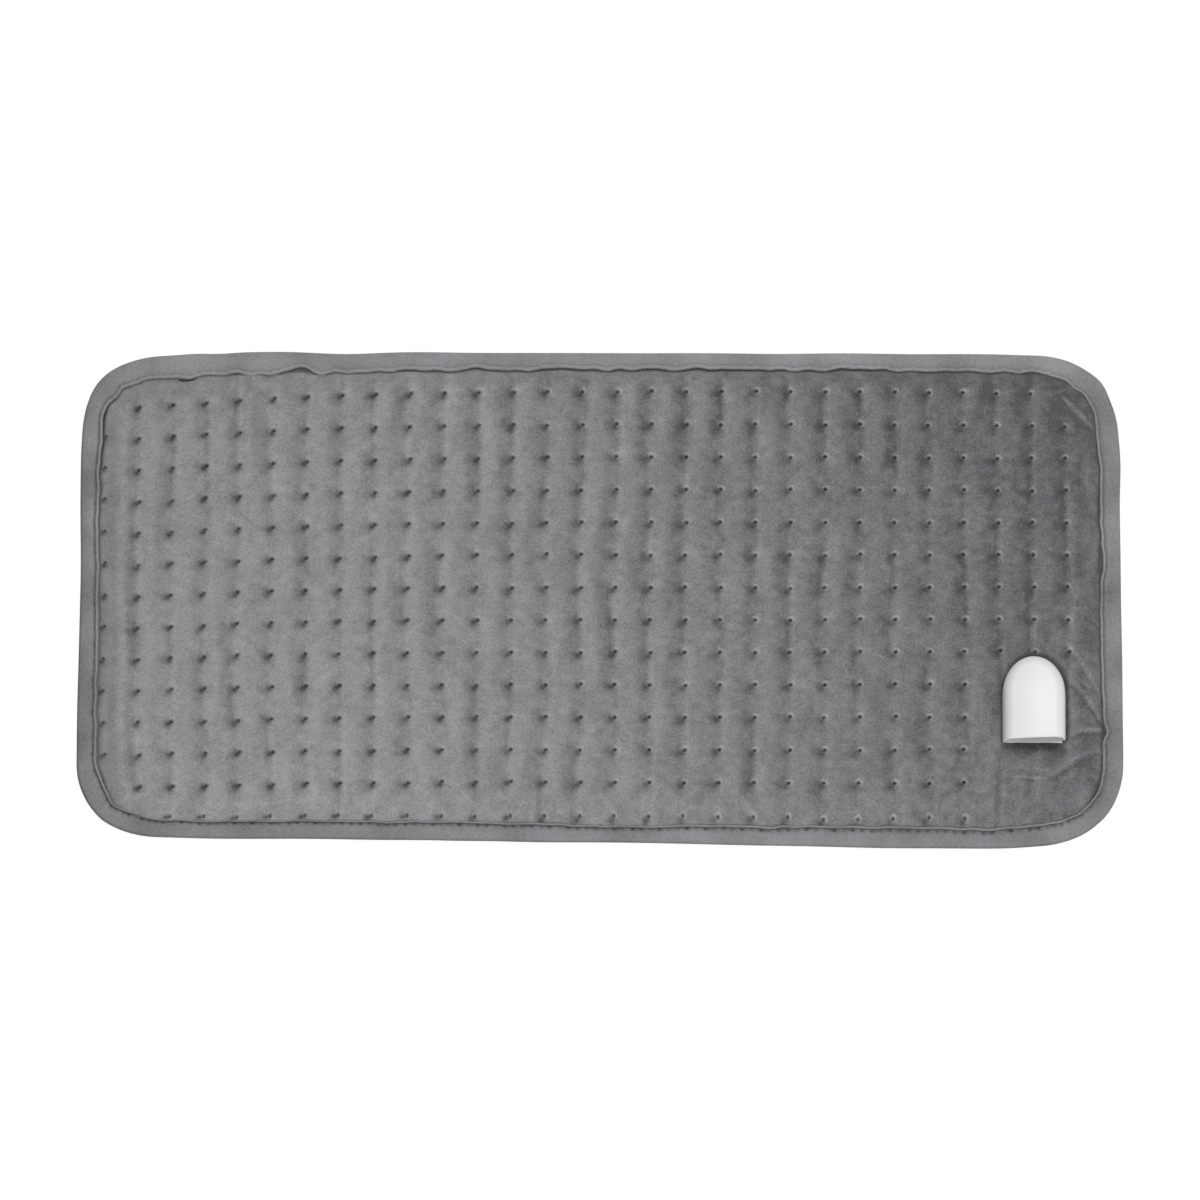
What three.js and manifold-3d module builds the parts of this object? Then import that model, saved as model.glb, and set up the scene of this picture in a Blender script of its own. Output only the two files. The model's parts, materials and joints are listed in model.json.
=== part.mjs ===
// Heating pad with a plug-in socket: a tufted plush pad with a bound edge, the heating wire and
// soft layers inside it, and the moulded socket that a control lead plugs into.
// Millimetres, +Z up. The pad lies on its back, long side along X, socket mouth facing -Y.
import * as THREE from "three";
import { mergeVertices } from "three/addons/utils/BufferGeometryUtils.js";
import Module from "manifold-3d";

const wasm = await Module();
wasm.setup();

// Pad outline, over the binding
const padLength = 610;
const padWidth = 305;
const cornerRadius = 48;

// Clearances
const seatGap = 0.3;
const holeGap = 0.3;
const clothHoleGap = 0.8;
const screwFit = 0.2;

// Soft layers
const frontCoverThickness = 3.2;
const backCoverThickness = 2.4;
const battingThickness = 1;
const scrimThickness = 0.3;
const battingMargin = 2;
const scrimMargin = 8;

// Bound edge: a tape folded round the sewn flanges of both covers
const bindingWidth = 10;
const tapeThickness = 0.8;
const noseThickness = 1.6;
const flangeThickness = 0.9;
const stitchFromLip = 2;
const stitchGrooveWidth = 1.2;
const stitchGrooveDepth = 0.3;
const lipGap = 0.4;
const rimRise = 12;

// Tufts, bonded right through the pad on a square grid
const tuftPitchX = 20.15;
const tuftPitchY = 20.3;
const tuftLeftMargin = 14.5;
const tuftTopMargin = 28.3;
const tuftEdgeMargin = 12;
const tuftSocketMargin = 12;
const frontTuftDepth = 2.6;
const backTuftDepth = 1.9;
const rimCrownInset = 16;
const crownPairInset = 44;
const crownSpread = 0.4;

// Heating wire and its leads
const wireDiameter = 1.8;
const wireTopRow = 1;
const wireBend = 3.5;
const leadDiameter = 1.3;
const leadPitch = 1.9;
const leadBend = 4.5;
const leadFanLength = 4;
const leadGatherFirst = 0.8;
const leadGatherLast = 0.25;
const spliceDiameter = 3.2;
const spliceLength = 9;
const spliceTaper = 0.8;
const spliceClearance = 1.4;
const thermostatLength = 12;
const thermostatWidth = 6.4;
const thermostatThickness = 3;
const thermostatEdge = 0.4;
const thermostatStart = 1;
const returnLeadRoom = 6;

// Socket: a bullet-shaped dome, its mouth at one end
const socketFromRight = 51.3;
const socketFromFront = 58.3;
const socketWidth = 37;
const mouthDepth = 20;
const wiringLength = 25.6;
const noseLength = 23;
const shellWall = 1.8;
const sideHeight = 6;
const sideDraft = 0.3;
const shoulderRun = 7;
const shoulderRise = 7.2;
const crownRise = 0.8;

// Socket base, its clamp plate under the cover, and the screws between them
const floorThickness = 1.6;
const carrierThickness = 6;
const carrierRibWidth = 14;
const carrierRibThickness = 1.2;
const carrierRibHeight = 1.6;
const spigotDiameter = 11;
const spigotBore = 8.6;
const spigotFromScrew = 8.5;
const clampThickness = 1.5;
const clampInset = 4.1;
const clampFront = 3;
const bossDiameter = 5.4;
const bossFromSide = 7.5;
const bossFromCarrier = 3.2;
const rearBossFromNose = 7.1;
const screwDiameter = 2.5;
const screwEngagement = 6;
const screwTip = 1;
const screwHeadDiameter = 4.8;
const screwHeadHeight = 1.4;
const screwFaceShare = 0.7;
const pilotRoom = 1;

// Contacts
const contactCount = 4;
const contactFromSide = 11.3;
const contactHeight = 6.5;
const contactDiameter = 2;
const contactReach = 10;
const contactTail = 4;
const contactCollar = 3;
const contactCollarLength = 1;
const contactChamfer = 0.5;

// Facets
const tapeFacets = { corner: 8, long: 8, short: 4 };
const clothFacets = { corner: 4, long: 2, short: 1 };
const noseSteps = 18;
const crownShares = [0.15, 0.6];
const shoulderSteps = 5;
const bindingNoseSteps = 4;
const wireSides = 6;
const turnStep = 36;
const leadSteps = 20;
const roundSides = 12;
const holeSides = 16;
const clothHoleSides = 8;

// Heights of the layers, from the surface the pad lies on
const backBattingBottom = backCoverThickness + seatGap;
const scrimBottom = backBattingBottom + battingThickness + seatGap;
const wireLayerBottom = scrimBottom + scrimThickness + seatGap;
const wireAxis = wireLayerBottom + wireDiameter / 2;
const frontBattingBottom = wireLayerBottom + wireDiameter + seatGap;
const frontCoverBottom = frontBattingBottom + battingThickness + seatGap;
const crownZ = frontCoverBottom + frontCoverThickness;
const backFlangeBottom = tapeThickness + seatGap;
const frontFlangeBottom = backFlangeBottom + flangeThickness + seatGap;
const frontFlangeTop = frontFlangeBottom + flangeThickness;
const slotTop = frontFlangeTop + seatGap;
const bindingHeight = slotTop + tapeThickness;

// Distances in from the pad's edge
const seamInset = noseThickness + seatGap;
const shoulderInset = bindingWidth + lipGap;
const fieldInset = shoulderInset + 2 * lipGap;
const rimInset = bindingWidth + rimRise;
const battingInset = rimInset + battingMargin;
const scrimInset = bindingWidth + scrimMargin;

// Places of the socket
const socketX = padLength / 2 - socketFromRight;
const mouthY = -padWidth / 2 + socketFromFront;
const seatZ = crownZ + seatGap;
const socketLength = mouthDepth + carrierThickness + wiringLength;
const socketHalf = socketWidth / 2;
const noseY = mouthY + socketLength;
const carrierBack = mouthDepth + carrierThickness;
const clampHalf = socketHalf - clampInset;
const clampTop = frontCoverBottom - seatGap - seatZ;
const frontBossV = carrierBack + bossFromCarrier;
const rearBossV = socketLength - rearBossFromNose;
const spigotV = rearBossV - spigotFromScrew;
const screwSpots = [
  [-(socketHalf - bossFromSide), frontBossV],
  [socketHalf - bossFromSide, frontBossV],
  [0, rearBossV],
];

// Tuft grid, and the runs of wire midway between its columns
const columns = Math.floor((padLength - tuftLeftMargin - tuftEdgeMargin) / tuftPitchX) + 1;
const rows = Math.floor((padWidth - tuftTopMargin - tuftEdgeMargin) / tuftPitchY) + 1;
const columnX = (column) => -padLength / 2 + tuftLeftMargin + column * tuftPitchX;
const rowY = (row) => padWidth / 2 - tuftTopMargin - row * tuftPitchY;
const runX = (run) => columnX(run) + tuftPitchX / 2;
const turnRadius = tuftPitchX / 2;

const plush = new THREE.MeshStandardMaterial({ color: "#83838a", roughness: 0.95, metalness: 0 });
const bindingKnit = new THREE.MeshStandardMaterial({ color: "#86868a", roughness: 0.9, metalness: 0 });
const felt = new THREE.MeshStandardMaterial({ color: "#dcd9d2", roughness: 1, metalness: 0 });
const silicone = new THREE.MeshStandardMaterial({ color: "#e9e6de", roughness: 0.55, metalness: 0 });
const whitePlastic = new THREE.MeshStandardMaterial({ color: "#ececec", roughness: 0.35, metalness: 0 });
const blackPlastic = new THREE.MeshStandardMaterial({ color: "#2b2b2d", roughness: 0.5, metalness: 0 });
const shrinkSleeve = new THREE.MeshStandardMaterial({ color: "#35353a", roughness: 0.45, metalness: 0 });
const brass = new THREE.MeshStandardMaterial({ color: "#d8b25c", roughness: 0.3, metalness: 1 });
const zincSteel = new THREE.MeshStandardMaterial({ color: "#b9bcc0", roughness: 0.35, metalness: 1 });

function piece(name, geometry, material) {
  const mesh = new THREE.Mesh(geometry, material);
  mesh.name = name;
  return mesh;
}

function geometryFrom(points, triangles) {
  const geometry = new THREE.BufferGeometry();
  geometry.setAttribute("position", new THREE.Float32BufferAttribute(points.flatMap((p) => p.toArray()), 3));
  geometry.setIndex(triangles.flat());
  return geometry;
}

function solidFrom(geometry) {
  const bare = geometry.clone();
  bare.deleteAttribute("normal");
  bare.deleteAttribute("uv");
  const merged = mergeVertices(bare);
  const mesh = new wasm.Mesh({
    numProp: 3,
    vertProperties: new Float32Array(merged.getAttribute("position").array),
    triVerts: new Uint32Array(merged.getIndex().array),
  });
  return new wasm.Manifold(mesh);
}

function geometryOf(solid) {
  const mesh = solid.getMesh();
  const geometry = new THREE.BufferGeometry();
  geometry.setAttribute("position", new THREE.BufferAttribute(mesh.vertProperties.slice(), 3));
  geometry.setIndex(new THREE.BufferAttribute(mesh.triVerts.slice(), 1));
  return geometry;
}

// Quads between two rings of one length, facing out when the rings run outward and then down
function joinRings(triangles, first, second, count) {
  for (let i = 0; i < count; i++) {
    const next = (i + 1) % count;
    triangles.push([first + i, second + i, second + next], [first + i, second + next, first + next]);
  }
}

// Closed body through rings that run from its top to its foot
function loft(rings) {
  const count = rings[0].length;
  const triangles = [];
  for (let band = 0; band + 1 < rings.length; band++) {
    joinRings(triangles, band * count, (band + 1) * count, count);
  }
  const foot = (rings.length - 1) * count;
  for (let i = 1; i + 1 < count; i++) {
    triangles.push([0, i, i + 1], [foot, foot + i + 1, foot + i]);
  }
  return geometryFrom(rings.flat(), triangles);
}

// Round tube along a path that starts level, its section carried along without twist
function tubeAlong(path, diameter, sides) {
  const normal = new THREE.Vector3(0, 0, 1);
  const rings = path.map((point, i) => {
    const before = point.clone().sub(path[Math.max(i - 1, 0)]).normalize();
    const after = path[Math.min(i + 1, path.length - 1)].clone().sub(point).normalize();
    const tangent = before.add(after).normalize();
    normal.addScaledVector(tangent, -normal.dot(tangent)).normalize();
    const side = normal.clone().cross(tangent);
    return Array.from({ length: sides }, (_, k) => {
      const angle = (2 * Math.PI * k) / sides;
      const arm = normal.clone().multiplyScalar(Math.cos(angle)).addScaledVector(side, Math.sin(angle));
      return point.clone().addScaledVector(arm, diameter / 2);
    });
  });
  return loft(rings);
}

// Round bar along Z
function bar(diameter, bottom, top, sides, x = 0, y = 0) {
  const geometry = new THREE.CylinderGeometry(diameter / 2, diameter / 2, top - bottom, sides);
  geometry.rotateX(Math.PI / 2);
  geometry.translate(x, y, (bottom + top) / 2);
  return geometry;
}

function block(lowX, lowY, lowZ, highX, highY, highZ) {
  const geometry = new THREE.BoxGeometry(highX - lowX, highY - lowY, highZ - lowZ);
  geometry.translate((lowX + highX) / 2, (lowY + highY) / 2, (lowZ + highZ) / 2);
  return geometry;
}

// Pad outline drawn in by an inset, counter-clockwise from above
function padRing(inset, z, facets = clothFacets) {
  const radius = cornerRadius - inset;
  const reachX = padLength / 2 - cornerRadius;
  const reachY = padWidth / 2 - cornerRadius;
  const ring = [];
  const corners = [
    [1, -1, facets.short],
    [1, 1, facets.long],
    [-1, 1, facets.short],
    [-1, -1, facets.long],
  ];
  corners.forEach(([signX, signY, sideSteps], corner) => {
    const start = (corner - 1) * (Math.PI / 2);
    for (let step = 0; step <= facets.corner; step++) {
      const angle = start + (step / facets.corner) * (Math.PI / 2);
      const x = signX * reachX + radius * Math.cos(angle);
      ring.push(new THREE.Vector3(x, signY * reachY + radius * Math.sin(angle), z));
    }
    const from = ring[ring.length - 1];
    const alongY = corner % 2 === 0;
    const to = from.clone();
    if (alongY) to.y = -from.y;
    else to.x = -from.x;
    for (let step = 1; step < sideSteps; step++) ring.push(from.clone().lerp(to, step / sideSteps));
  });
  return ring;
}

function insetAt(x, y) {
  const cornerX = Math.abs(x) - (padLength / 2 - cornerRadius);
  const cornerY = Math.abs(y) - (padWidth / 2 - cornerRadius);
  if (cornerX > 0 && cornerY > 0) return cornerRadius - Math.hypot(cornerX, cornerY);
  return cornerRadius - Math.max(cornerX, cornerY);
}

// Flat soft layer with the pad's outline
function layer(inset, bottom, thickness) {
  return loft([padRing(inset, bottom + thickness), padRing(inset, bottom)]);
}

// Delaunay triangles of points whose hull is the first ring, found by adding one point at a time.
// The plan is bulged and shaken a little first: no side is straight, no four points share a circle.
function triangulate(points) {
  const bulge = 1e-3;
  const shake = 1e-6;
  const plan = points.map((p, i) => {
    const x = p.x * (1 + bulge * (1 - (2 * p.y / padWidth) ** 2));
    const y = p.y * (1 + bulge * (1 - (2 * p.x / padLength) ** 2));
    return new THREE.Vector2(x + shake * Math.sin(i * i), y + shake * Math.cos(i * i));
  });
  const far = 100 * padLength;
  const count = plan.length;
  plan.push(new THREE.Vector2(-far, -far), new THREE.Vector2(far, -far), new THREE.Vector2(0, far));
  const circled = (a, b, c) => {
    const [p, q, r] = [plan[a], plan[b].clone().sub(plan[a]), plan[c].clone().sub(plan[a])];
    const twice = 2 * q.cross(r);
    const x = (r.y * q.lengthSq() - q.y * r.lengthSq()) / twice;
    const y = (q.x * r.lengthSq() - r.x * q.lengthSq()) / twice;
    return { corners: [a, b, c], x: p.x + x, y: p.y + y, reach: x * x + y * y };
  };
  let triangles = [circled(count, count + 1, count + 2)];
  for (let i = 0; i < count; i++) {
    const holds = (t) => (plan[i].x - t.x) ** 2 + (plan[i].y - t.y) ** 2 < t.reach;
    const edges = new Map();
    for (const { corners: [a, b, c] } of triangles.filter(holds)) {
      for (const [from, to] of [[a, b], [b, c], [c, a]]) {
        if (!edges.delete(`${to} ${from}`)) edges.set(`${from} ${to}`, [from, to]);
      }
    }
    triangles = triangles.filter((t) => !holds(t));
    for (const [from, to] of edges.values()) triangles.push(circled(from, to, i));
  }
  return triangles.map((t) => t.corners).filter((corners) => corners.every((k) => k < count));
}

// How far the pad has swelled to its full height, from 0 at the binding to 1
function swellAt(inset) {
  const climb = THREE.MathUtils.clamp((inset - bindingWidth) / rimRise, 0, 1);
  return Math.sqrt(1 - (1 - climb) ** 2);
}

// Tufts and the crowns between them, on a cover that swells from its flange to its crown.
// Away from the rim the crowns come in pairs, so that each tuft is a pit of its own.
function quiltPoints(flange, crown, tuft) {
  const points = [];
  const nearSocket = (x, y) => x > socketX - socketHalf - tuftSocketMargin && y < noseY;
  const place = (x, y, full) => {
    points.push(new THREE.Vector3(x, y, THREE.MathUtils.lerp(flange, full, swellAt(insetAt(x, y)))));
  };
  for (let column = -1; column < columns; column++) {
    for (let row = -1; row < rows; row++) {
      const spot = [columnX(column), rowY(row)];
      const sewn = column >= 0 && row >= 0 && insetAt(...spot) > tuftEdgeMargin && !nearSocket(...spot);
      if (sewn) place(...spot, tuft);
      const top = [runX(column), rowY(row) - tuftPitchY / 2];
      const paired = insetAt(...top) > crownPairInset && !nearSocket(...top);
      const aside = paired ? (crownSpread * tuftPitchX) / 2 : 0;
      if (insetAt(...top) > rimCrownInset) place(top[0] - aside, top[1], crown);
      if (paired) place(top[0] + aside, top[1], crown);
    }
  }
  return points;
}

// Plush cover: a quilted outer face, a crowned rim, a thin sewn flange and a plain inner face
function quiltedCover({ innerField, innerFlange, outerFlange, crown, tuft, outward }) {
  const rings = [
    padRing(fieldInset, THREE.MathUtils.lerp(outerFlange, crown, swellAt(fieldInset))),
    padRing(shoulderInset, outerFlange),
    padRing(seamInset, outerFlange),
    padRing(seamInset, innerFlange),
    padRing(fieldInset, innerFlange),
    padRing(rimInset, innerField),
  ];
  const count = rings[0].length;
  const quilt = quiltPoints(outerFlange, crown, tuft);
  const quiltStart = (rings.length - 1) * count;
  const triangles = triangulate([...rings[0], ...quilt]).map((corners) =>
    corners.map((k) => (k < count ? k : k + quiltStart)));
  for (let band = 0; band + 1 < rings.length; band++) {
    joinRings(triangles, band * count, (band + 1) * count, count);
  }
  for (let i = 1; i + 1 < count; i++) triangles.push([quiltStart, quiltStart + i + 1, quiltStart + i]);
  if (outward < 0) triangles.forEach((corners) => corners.reverse());
  return geometryFrom([...rings.flat(), ...quilt], triangles);
}

function frontCover() {
  const blank = solidFrom(quiltedCover({
    innerField: frontCoverBottom,
    innerFlange: frontFlangeBottom,
    outerFlange: frontFlangeTop,
    crown: crownZ,
    tuft: crownZ - frontTuftDepth,
    outward: 1,
  }));
  const hole = (diameter, u, v) =>
    solidFrom(bar(diameter + 2 * clothHoleGap, 0, 2 * crownZ, clothHoleSides, socketX + u, mouthY + v));
  let cover = blank.subtract(hole(spigotDiameter, 0, spigotV));
  for (const [u, v] of screwSpots) cover = cover.subtract(hole(screwDiameter, u, v));
  return geometryOf(cover);
}

function backCover() {
  return quiltedCover({
    innerField: backCoverThickness,
    innerFlange: backFlangeBottom + flangeThickness,
    outerFlange: backFlangeBottom,
    crown: 0,
    tuft: backTuftDepth,
    outward: -1,
  });
}

// The front layer of felt stops short of the corner that holds the socket's clamp and splices
function frontBatting() {
  const sheet = solidFrom(layer(battingInset, frontBattingBottom, battingThickness));
  const corner = block(
    runX(startRun) + wireDiameter, -padWidth, 0,
    padLength, noseY + battingMargin, 2 * crownZ,
  );
  return geometryOf(sheet.subtract(solidFrom(corner)));
}

// Folded tape: round nose outside, a slot that grips both flanges, a stitch groove near its front lip
function edgeBinding() {
  const noseRadius = bindingHeight / 2;
  const stitchInset = bindingWidth - stitchFromLip;
  const section = [
    [bindingWidth, bindingHeight],
    [stitchInset + stitchGrooveWidth / 2, bindingHeight],
    [stitchInset, bindingHeight - stitchGrooveDepth],
    [stitchInset - stitchGrooveWidth / 2, bindingHeight],
  ];
  for (let step = 0; step <= bindingNoseSteps; step++) {
    const angle = Math.PI * (0.5 - step / bindingNoseSteps);
    section.push([noseRadius * (1 - Math.cos(angle)), noseRadius * (1 + Math.sin(angle))]);
  }
  section.push(
    [bindingWidth, 0],
    [bindingWidth, tapeThickness],
    [noseThickness, tapeThickness],
    [noseThickness, slotTop],
    [bindingWidth, slotTop],
  );
  const rings = section.map(([inset, z]) => padRing(inset, z, tapeFacets));
  const count = rings[0].length;
  const triangles = [];
  rings.forEach((_, band) => joinRings(triangles, band * count, ((band + 1) % rings.length) * count, count));
  return geometryFrom(rings.flat(), triangles);
}

// Splice beside the socket: the nearest run of wire that leaves room for it, left of the clamp plate
const spliceRoom = leadBend + spliceLength + spliceClearance;
const clampLeft = socketX - clampHalf;
const startRun = Math.floor((clampLeft - spliceRoom - columnX(0)) / tuftPitchX - 0.5);
const lastRun = startRun + 2 * Math.floor((columns - 2 - startRun) / 2);
const firstRun = (lastRun + 1) % 2;
const sideSpliceU = -(clampHalf + spliceClearance + spliceDiameter / 2);
const topSpliceV = spigotV + leadPitch;
const topSpliceEnd = runX(startRun) + leadBend;
const sideSpliceTop = frontBossV - leadBend;
const sideSpliceBottom = sideSpliceTop - spliceLength;
const spliceAxis = wireLayerBottom + spliceDiameter / 2;
const returnRoom = returnLeadRoom + thermostatLength + thermostatStart + leadBend;
const returnLimit = mouthY + sideSpliceBottom - returnRoom;
const returnRow = Math.ceil((rowY(0) - turnRadius - returnLimit) / tuftPitchY);
const returnY = rowY(returnRow) - turnRadius;
const thermostatX = socketX + sideSpliceU;
const thermostatY = returnY + leadBend + thermostatStart;

function arcPoints(x, y, radius, fromDegrees, toDegrees) {
  const steps = Math.ceil(Math.abs(toDegrees - fromDegrees) / turnStep);
  return Array.from({ length: steps + 1 }, (_, step) => {
    const angle = THREE.MathUtils.degToRad(fromDegrees + ((toDegrees - fromDegrees) * step) / steps);
    return new THREE.Vector3(x + radius * Math.cos(angle), y + radius * Math.sin(angle), wireAxis);
  });
}

// One length of wire from the splice, up and down between the tuft columns to the far side,
// then back along the near edge to the thermostat. Every turn goes round a tuft.
function heatingWire() {
  const roundTuft = (column, row, from, to) => arcPoints(columnX(column), rowY(row), turnRadius, from, to);
  const socketRow = Math.floor((padWidth / 2 - tuftTopMargin - noseY) / tuftPitchY);
  const spliceY = mouthY + topSpliceV;
  const path = [new THREE.Vector3(topSpliceEnd - seatGap, spliceY, wireAxis)];
  path.push(...arcPoints(runX(startRun) + wireBend, spliceY + wireBend, wireBend, 270, 180));
  if (lastRun > startRun) {
    path.push(...roundTuft(startRun + 1, socketRow, 180, 90));
    path.push(...roundTuft(lastRun, socketRow - 1, 270, 360));
  }
  for (let run = lastRun; run > firstRun; run--) {
    const goesUp = (lastRun - run) % 2 === 0;
    const lowRow = run > startRun ? socketRow - 2 : returnRow - 1;
    path.push(...(goesUp ? roundTuft(run, wireTopRow, 0, 180) : roundTuft(run, lowRow, 360, 180)));
  }
  path.push(...roundTuft(firstRun + 1, returnRow, 180, 270));
  path.push(...arcPoints(thermostatX - leadBend, returnY + leadBend, leadBend, 270, 360));
  path.push(new THREE.Vector3(thermostatX, thermostatY - seatGap, wireAxis));
  return tubeAlong(path, wireDiameter, wireSides);
}

// Flat can with rounded ends, along Y
function thermostat() {
  const half = thermostatWidth / 2 - thermostatEdge;
  const outline = new THREE.Shape();
  outline.absarc(0, thermostatLength - thermostatWidth / 2, half, 0, Math.PI);
  outline.absarc(0, thermostatWidth / 2, half, Math.PI, 2 * Math.PI);
  const can = new THREE.ExtrudeGeometry(outline, {
    depth: thermostatThickness - 2 * thermostatEdge,
    curveSegments: shoulderSteps,
    bevelThickness: thermostatEdge,
    bevelSize: thermostatEdge,
    bevelSegments: 1,
  });
  can.translate(thermostatX, thermostatY, wireLayerBottom + thermostatEdge);
  return can;
}

// Shrunk sleeve over a crimped joint, along X
function spliceSleeve() {
  const radius = spliceDiameter / 2;
  const profile = [
    [0, 0],
    [radius - spliceTaper / 2, 0],
    [radius, spliceTaper],
    [radius, spliceLength - spliceTaper],
    [radius - spliceTaper / 2, spliceLength],
    [0, spliceLength],
  ];
  const sleeve = new THREE.LatheGeometry(profile.map(([r, y]) => new THREE.Vector2(r, y)), roundSides);
  sleeve.rotateZ(-Math.PI / 2);
  return sleeve;
}

// Level outline of the socket: straight sides from the mouth end, then an elliptical nose
function bulletRing(halfWidth, from, z) {
  const straight = socketLength - noseLength;
  const nose = noseLength - (socketHalf - halfWidth);
  const ring = [new THREE.Vector3(-halfWidth, from, z), new THREE.Vector3(halfWidth, from, z)];
  for (let step = 0; step <= noseSteps; step++) {
    const angle = (Math.PI * step) / noseSteps;
    ring.push(new THREE.Vector3(halfWidth * Math.cos(angle), straight + nose * Math.sin(angle), z));
  }
  return ring;
}

// Dome on that outline, drawn in by a skin all round, from a foot level up
function bulletDome(skin, foot, from) {
  const topHalf = socketHalf - sideDraft;
  const flatHalf = topHalf - shoulderRun;
  const flatZ = sideHeight + shoulderRise - skin;
  const rings = [];
  for (const share of crownShares) {
    rings.push(bulletRing(flatHalf * share, from, flatZ + crownRise * (1 - share * share)));
  }
  for (let step = 0; step <= shoulderSteps; step++) {
    const angle = (Math.PI / 2) * (1 - step / shoulderSteps);
    const halfWidth = flatHalf + (shoulderRun - skin) * Math.cos(angle);
    rings.push(bulletRing(halfWidth, from, sideHeight + (shoulderRise - skin) * Math.sin(angle)));
  }
  rings.push(bulletRing(socketHalf - skin, from, foot));
  return loft(rings);
}

function socketShell() {
  const overrun = mouthDepth;
  const floorTop = floorThickness + seatGap;
  const outside = solidFrom(bulletDome(0, 0, -overrun));
  const inside = solidFrom(bulletDome(shellWall, -overrun, -2 * overrun));
  const behindMouth = solidFrom(block(
    -socketWidth, 0, -socketWidth,
    socketWidth, 2 * socketLength, socketWidth,
  ));
  let shell = outside.subtract(inside);
  for (const [u, v] of screwSpots) {
    const boss = solidFrom(bar(bossDiameter, floorTop, socketWidth, roundSides, u, v));
    shell = shell.add(boss.intersect(outside));
  }
  for (const [u, v] of screwSpots) {
    const pilotTop = floorTop + screwEngagement + pilotRoom;
    shell = shell.subtract(solidFrom(bar(screwDiameter + 2 * screwFit, 0, pilotTop, roundSides, u, v)));
  }
  return geometryOf(shell.intersect(behindMouth));
}

// Plan of a plate on the socket's outline, with holes for the screws and one for the leads
function bulletPlate(inset, from, thickness, leadHole) {
  const half = socketHalf - inset;
  const outline = new THREE.Shape();
  outline.moveTo(-half, from);
  outline.lineTo(half, from);
  outline.absellipse(0, socketLength - noseLength, half, noseLength - inset, 0, Math.PI);
  for (const [u, v] of screwSpots) {
    outline.holes.push(new THREE.Path().absarc(u, v, screwDiameter / 2 + holeGap, 0, 2 * Math.PI));
  }
  outline.holes.push(new THREE.Path().absarc(0, spigotV, leadHole / 2, 0, 2 * Math.PI));
  const curveSegments = noseSteps / 2;
  return new THREE.ExtrudeGeometry(outline, { depth: thickness, bevelEnabled: false, curveSegments });
}

// Floor of the socket, with ribs that hold the contact block and a spigot down through the cover
function socketBase() {
  const floor = solidFrom(bulletPlate(shellWall + seatGap, 0, floorThickness, spigotBore));
  const rib = (v) => solidFrom(block(
    -carrierRibWidth / 2, v, floorThickness / 2,
    carrierRibWidth / 2, v + carrierRibThickness, floorThickness + carrierRibHeight,
  ));
  const spigotFoot = clampTop - clampThickness;
  const spigot = solidFrom(bar(spigotDiameter, spigotFoot, floorThickness, holeSides, 0, spigotV));
  const bore = solidFrom(bar(spigotBore, 2 * spigotFoot, 2 * floorThickness, holeSides, 0, spigotV));
  const base = floor.add(rib(mouthDepth - seatGap - carrierRibThickness)).add(rib(carrierBack + seatGap));
  return geometryOf(base.add(spigot).subtract(bore));
}

function clampPlate() {
  const plate = bulletPlate(clampInset, clampFront, clampThickness, spigotDiameter + 2 * holeGap);
  plate.translate(0, 0, clampTop - clampThickness);
  return plate;
}

const contactPitch = (socketWidth - 2 * contactFromSide) / (contactCount - 1);
const contactU = (contact) => (contact - (contactCount - 1) / 2) * contactPitch;

// Insulating block across the socket, filling the arch behind the mouth
function contactBlock() {
  const foot = floorThickness + seatGap;
  const arch = solidFrom(bulletDome(shellWall + seatGap, foot, 0));
  const slice = block(-socketWidth, mouthDepth, 0, socketWidth, carrierBack, socketWidth);
  let carrier = arch.intersect(solidFrom(slice));
  for (let contact = 0; contact < contactCount; contact++) {
    const hole = bar(contactDiameter + 2 * holeGap, 0, 2 * socketLength, roundSides);
    hole.rotateX(-Math.PI / 2);
    hole.translate(contactU(contact), 0, contactHeight);
    carrier = carrier.subtract(solidFrom(hole));
  }
  return geometryOf(carrier);
}

// Turned pin with a blunt tip and a collar behind the block, along Y
function contactPin() {
  const radius = contactDiameter / 2;
  const collar = carrierBack + seatGap;
  const profile = [
    [0, contactReach],
    [radius - contactChamfer, contactReach],
    [radius, contactReach + contactChamfer],
    [radius, collar],
    [contactCollar / 2, collar],
    [contactCollar / 2, collar + contactCollarLength],
    [radius, collar + contactCollarLength],
    [radius, carrierBack + contactTail],
    [0, carrierBack + contactTail],
  ];
  return new THREE.LatheGeometry(profile.map(([r, y]) => new THREE.Vector2(r, y)), roundSides);
}

// Pan-head screw, head down, from under the clamp plate up into its boss
function clampScrew() {
  const headTop = clampTop - clampThickness - seatGap;
  const tip = floorThickness + seatGap + screwEngagement;
  const radius = screwDiameter / 2;
  const headRadius = screwHeadDiameter / 2;
  const profile = [
    [0, headTop - screwHeadHeight],
    [headRadius * screwFaceShare, headTop - screwHeadHeight],
    [headRadius, headTop - screwHeadHeight / 2],
    [headRadius, headTop],
    [radius, headTop],
    [radius, tip - screwTip],
    [0, tip],
  ];
  const screw = new THREE.LatheGeometry(profile.map(([r, y]) => new THREE.Vector2(r, y)), roundSides);
  screw.rotateX(Math.PI / 2);
  return screw;
}

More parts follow.
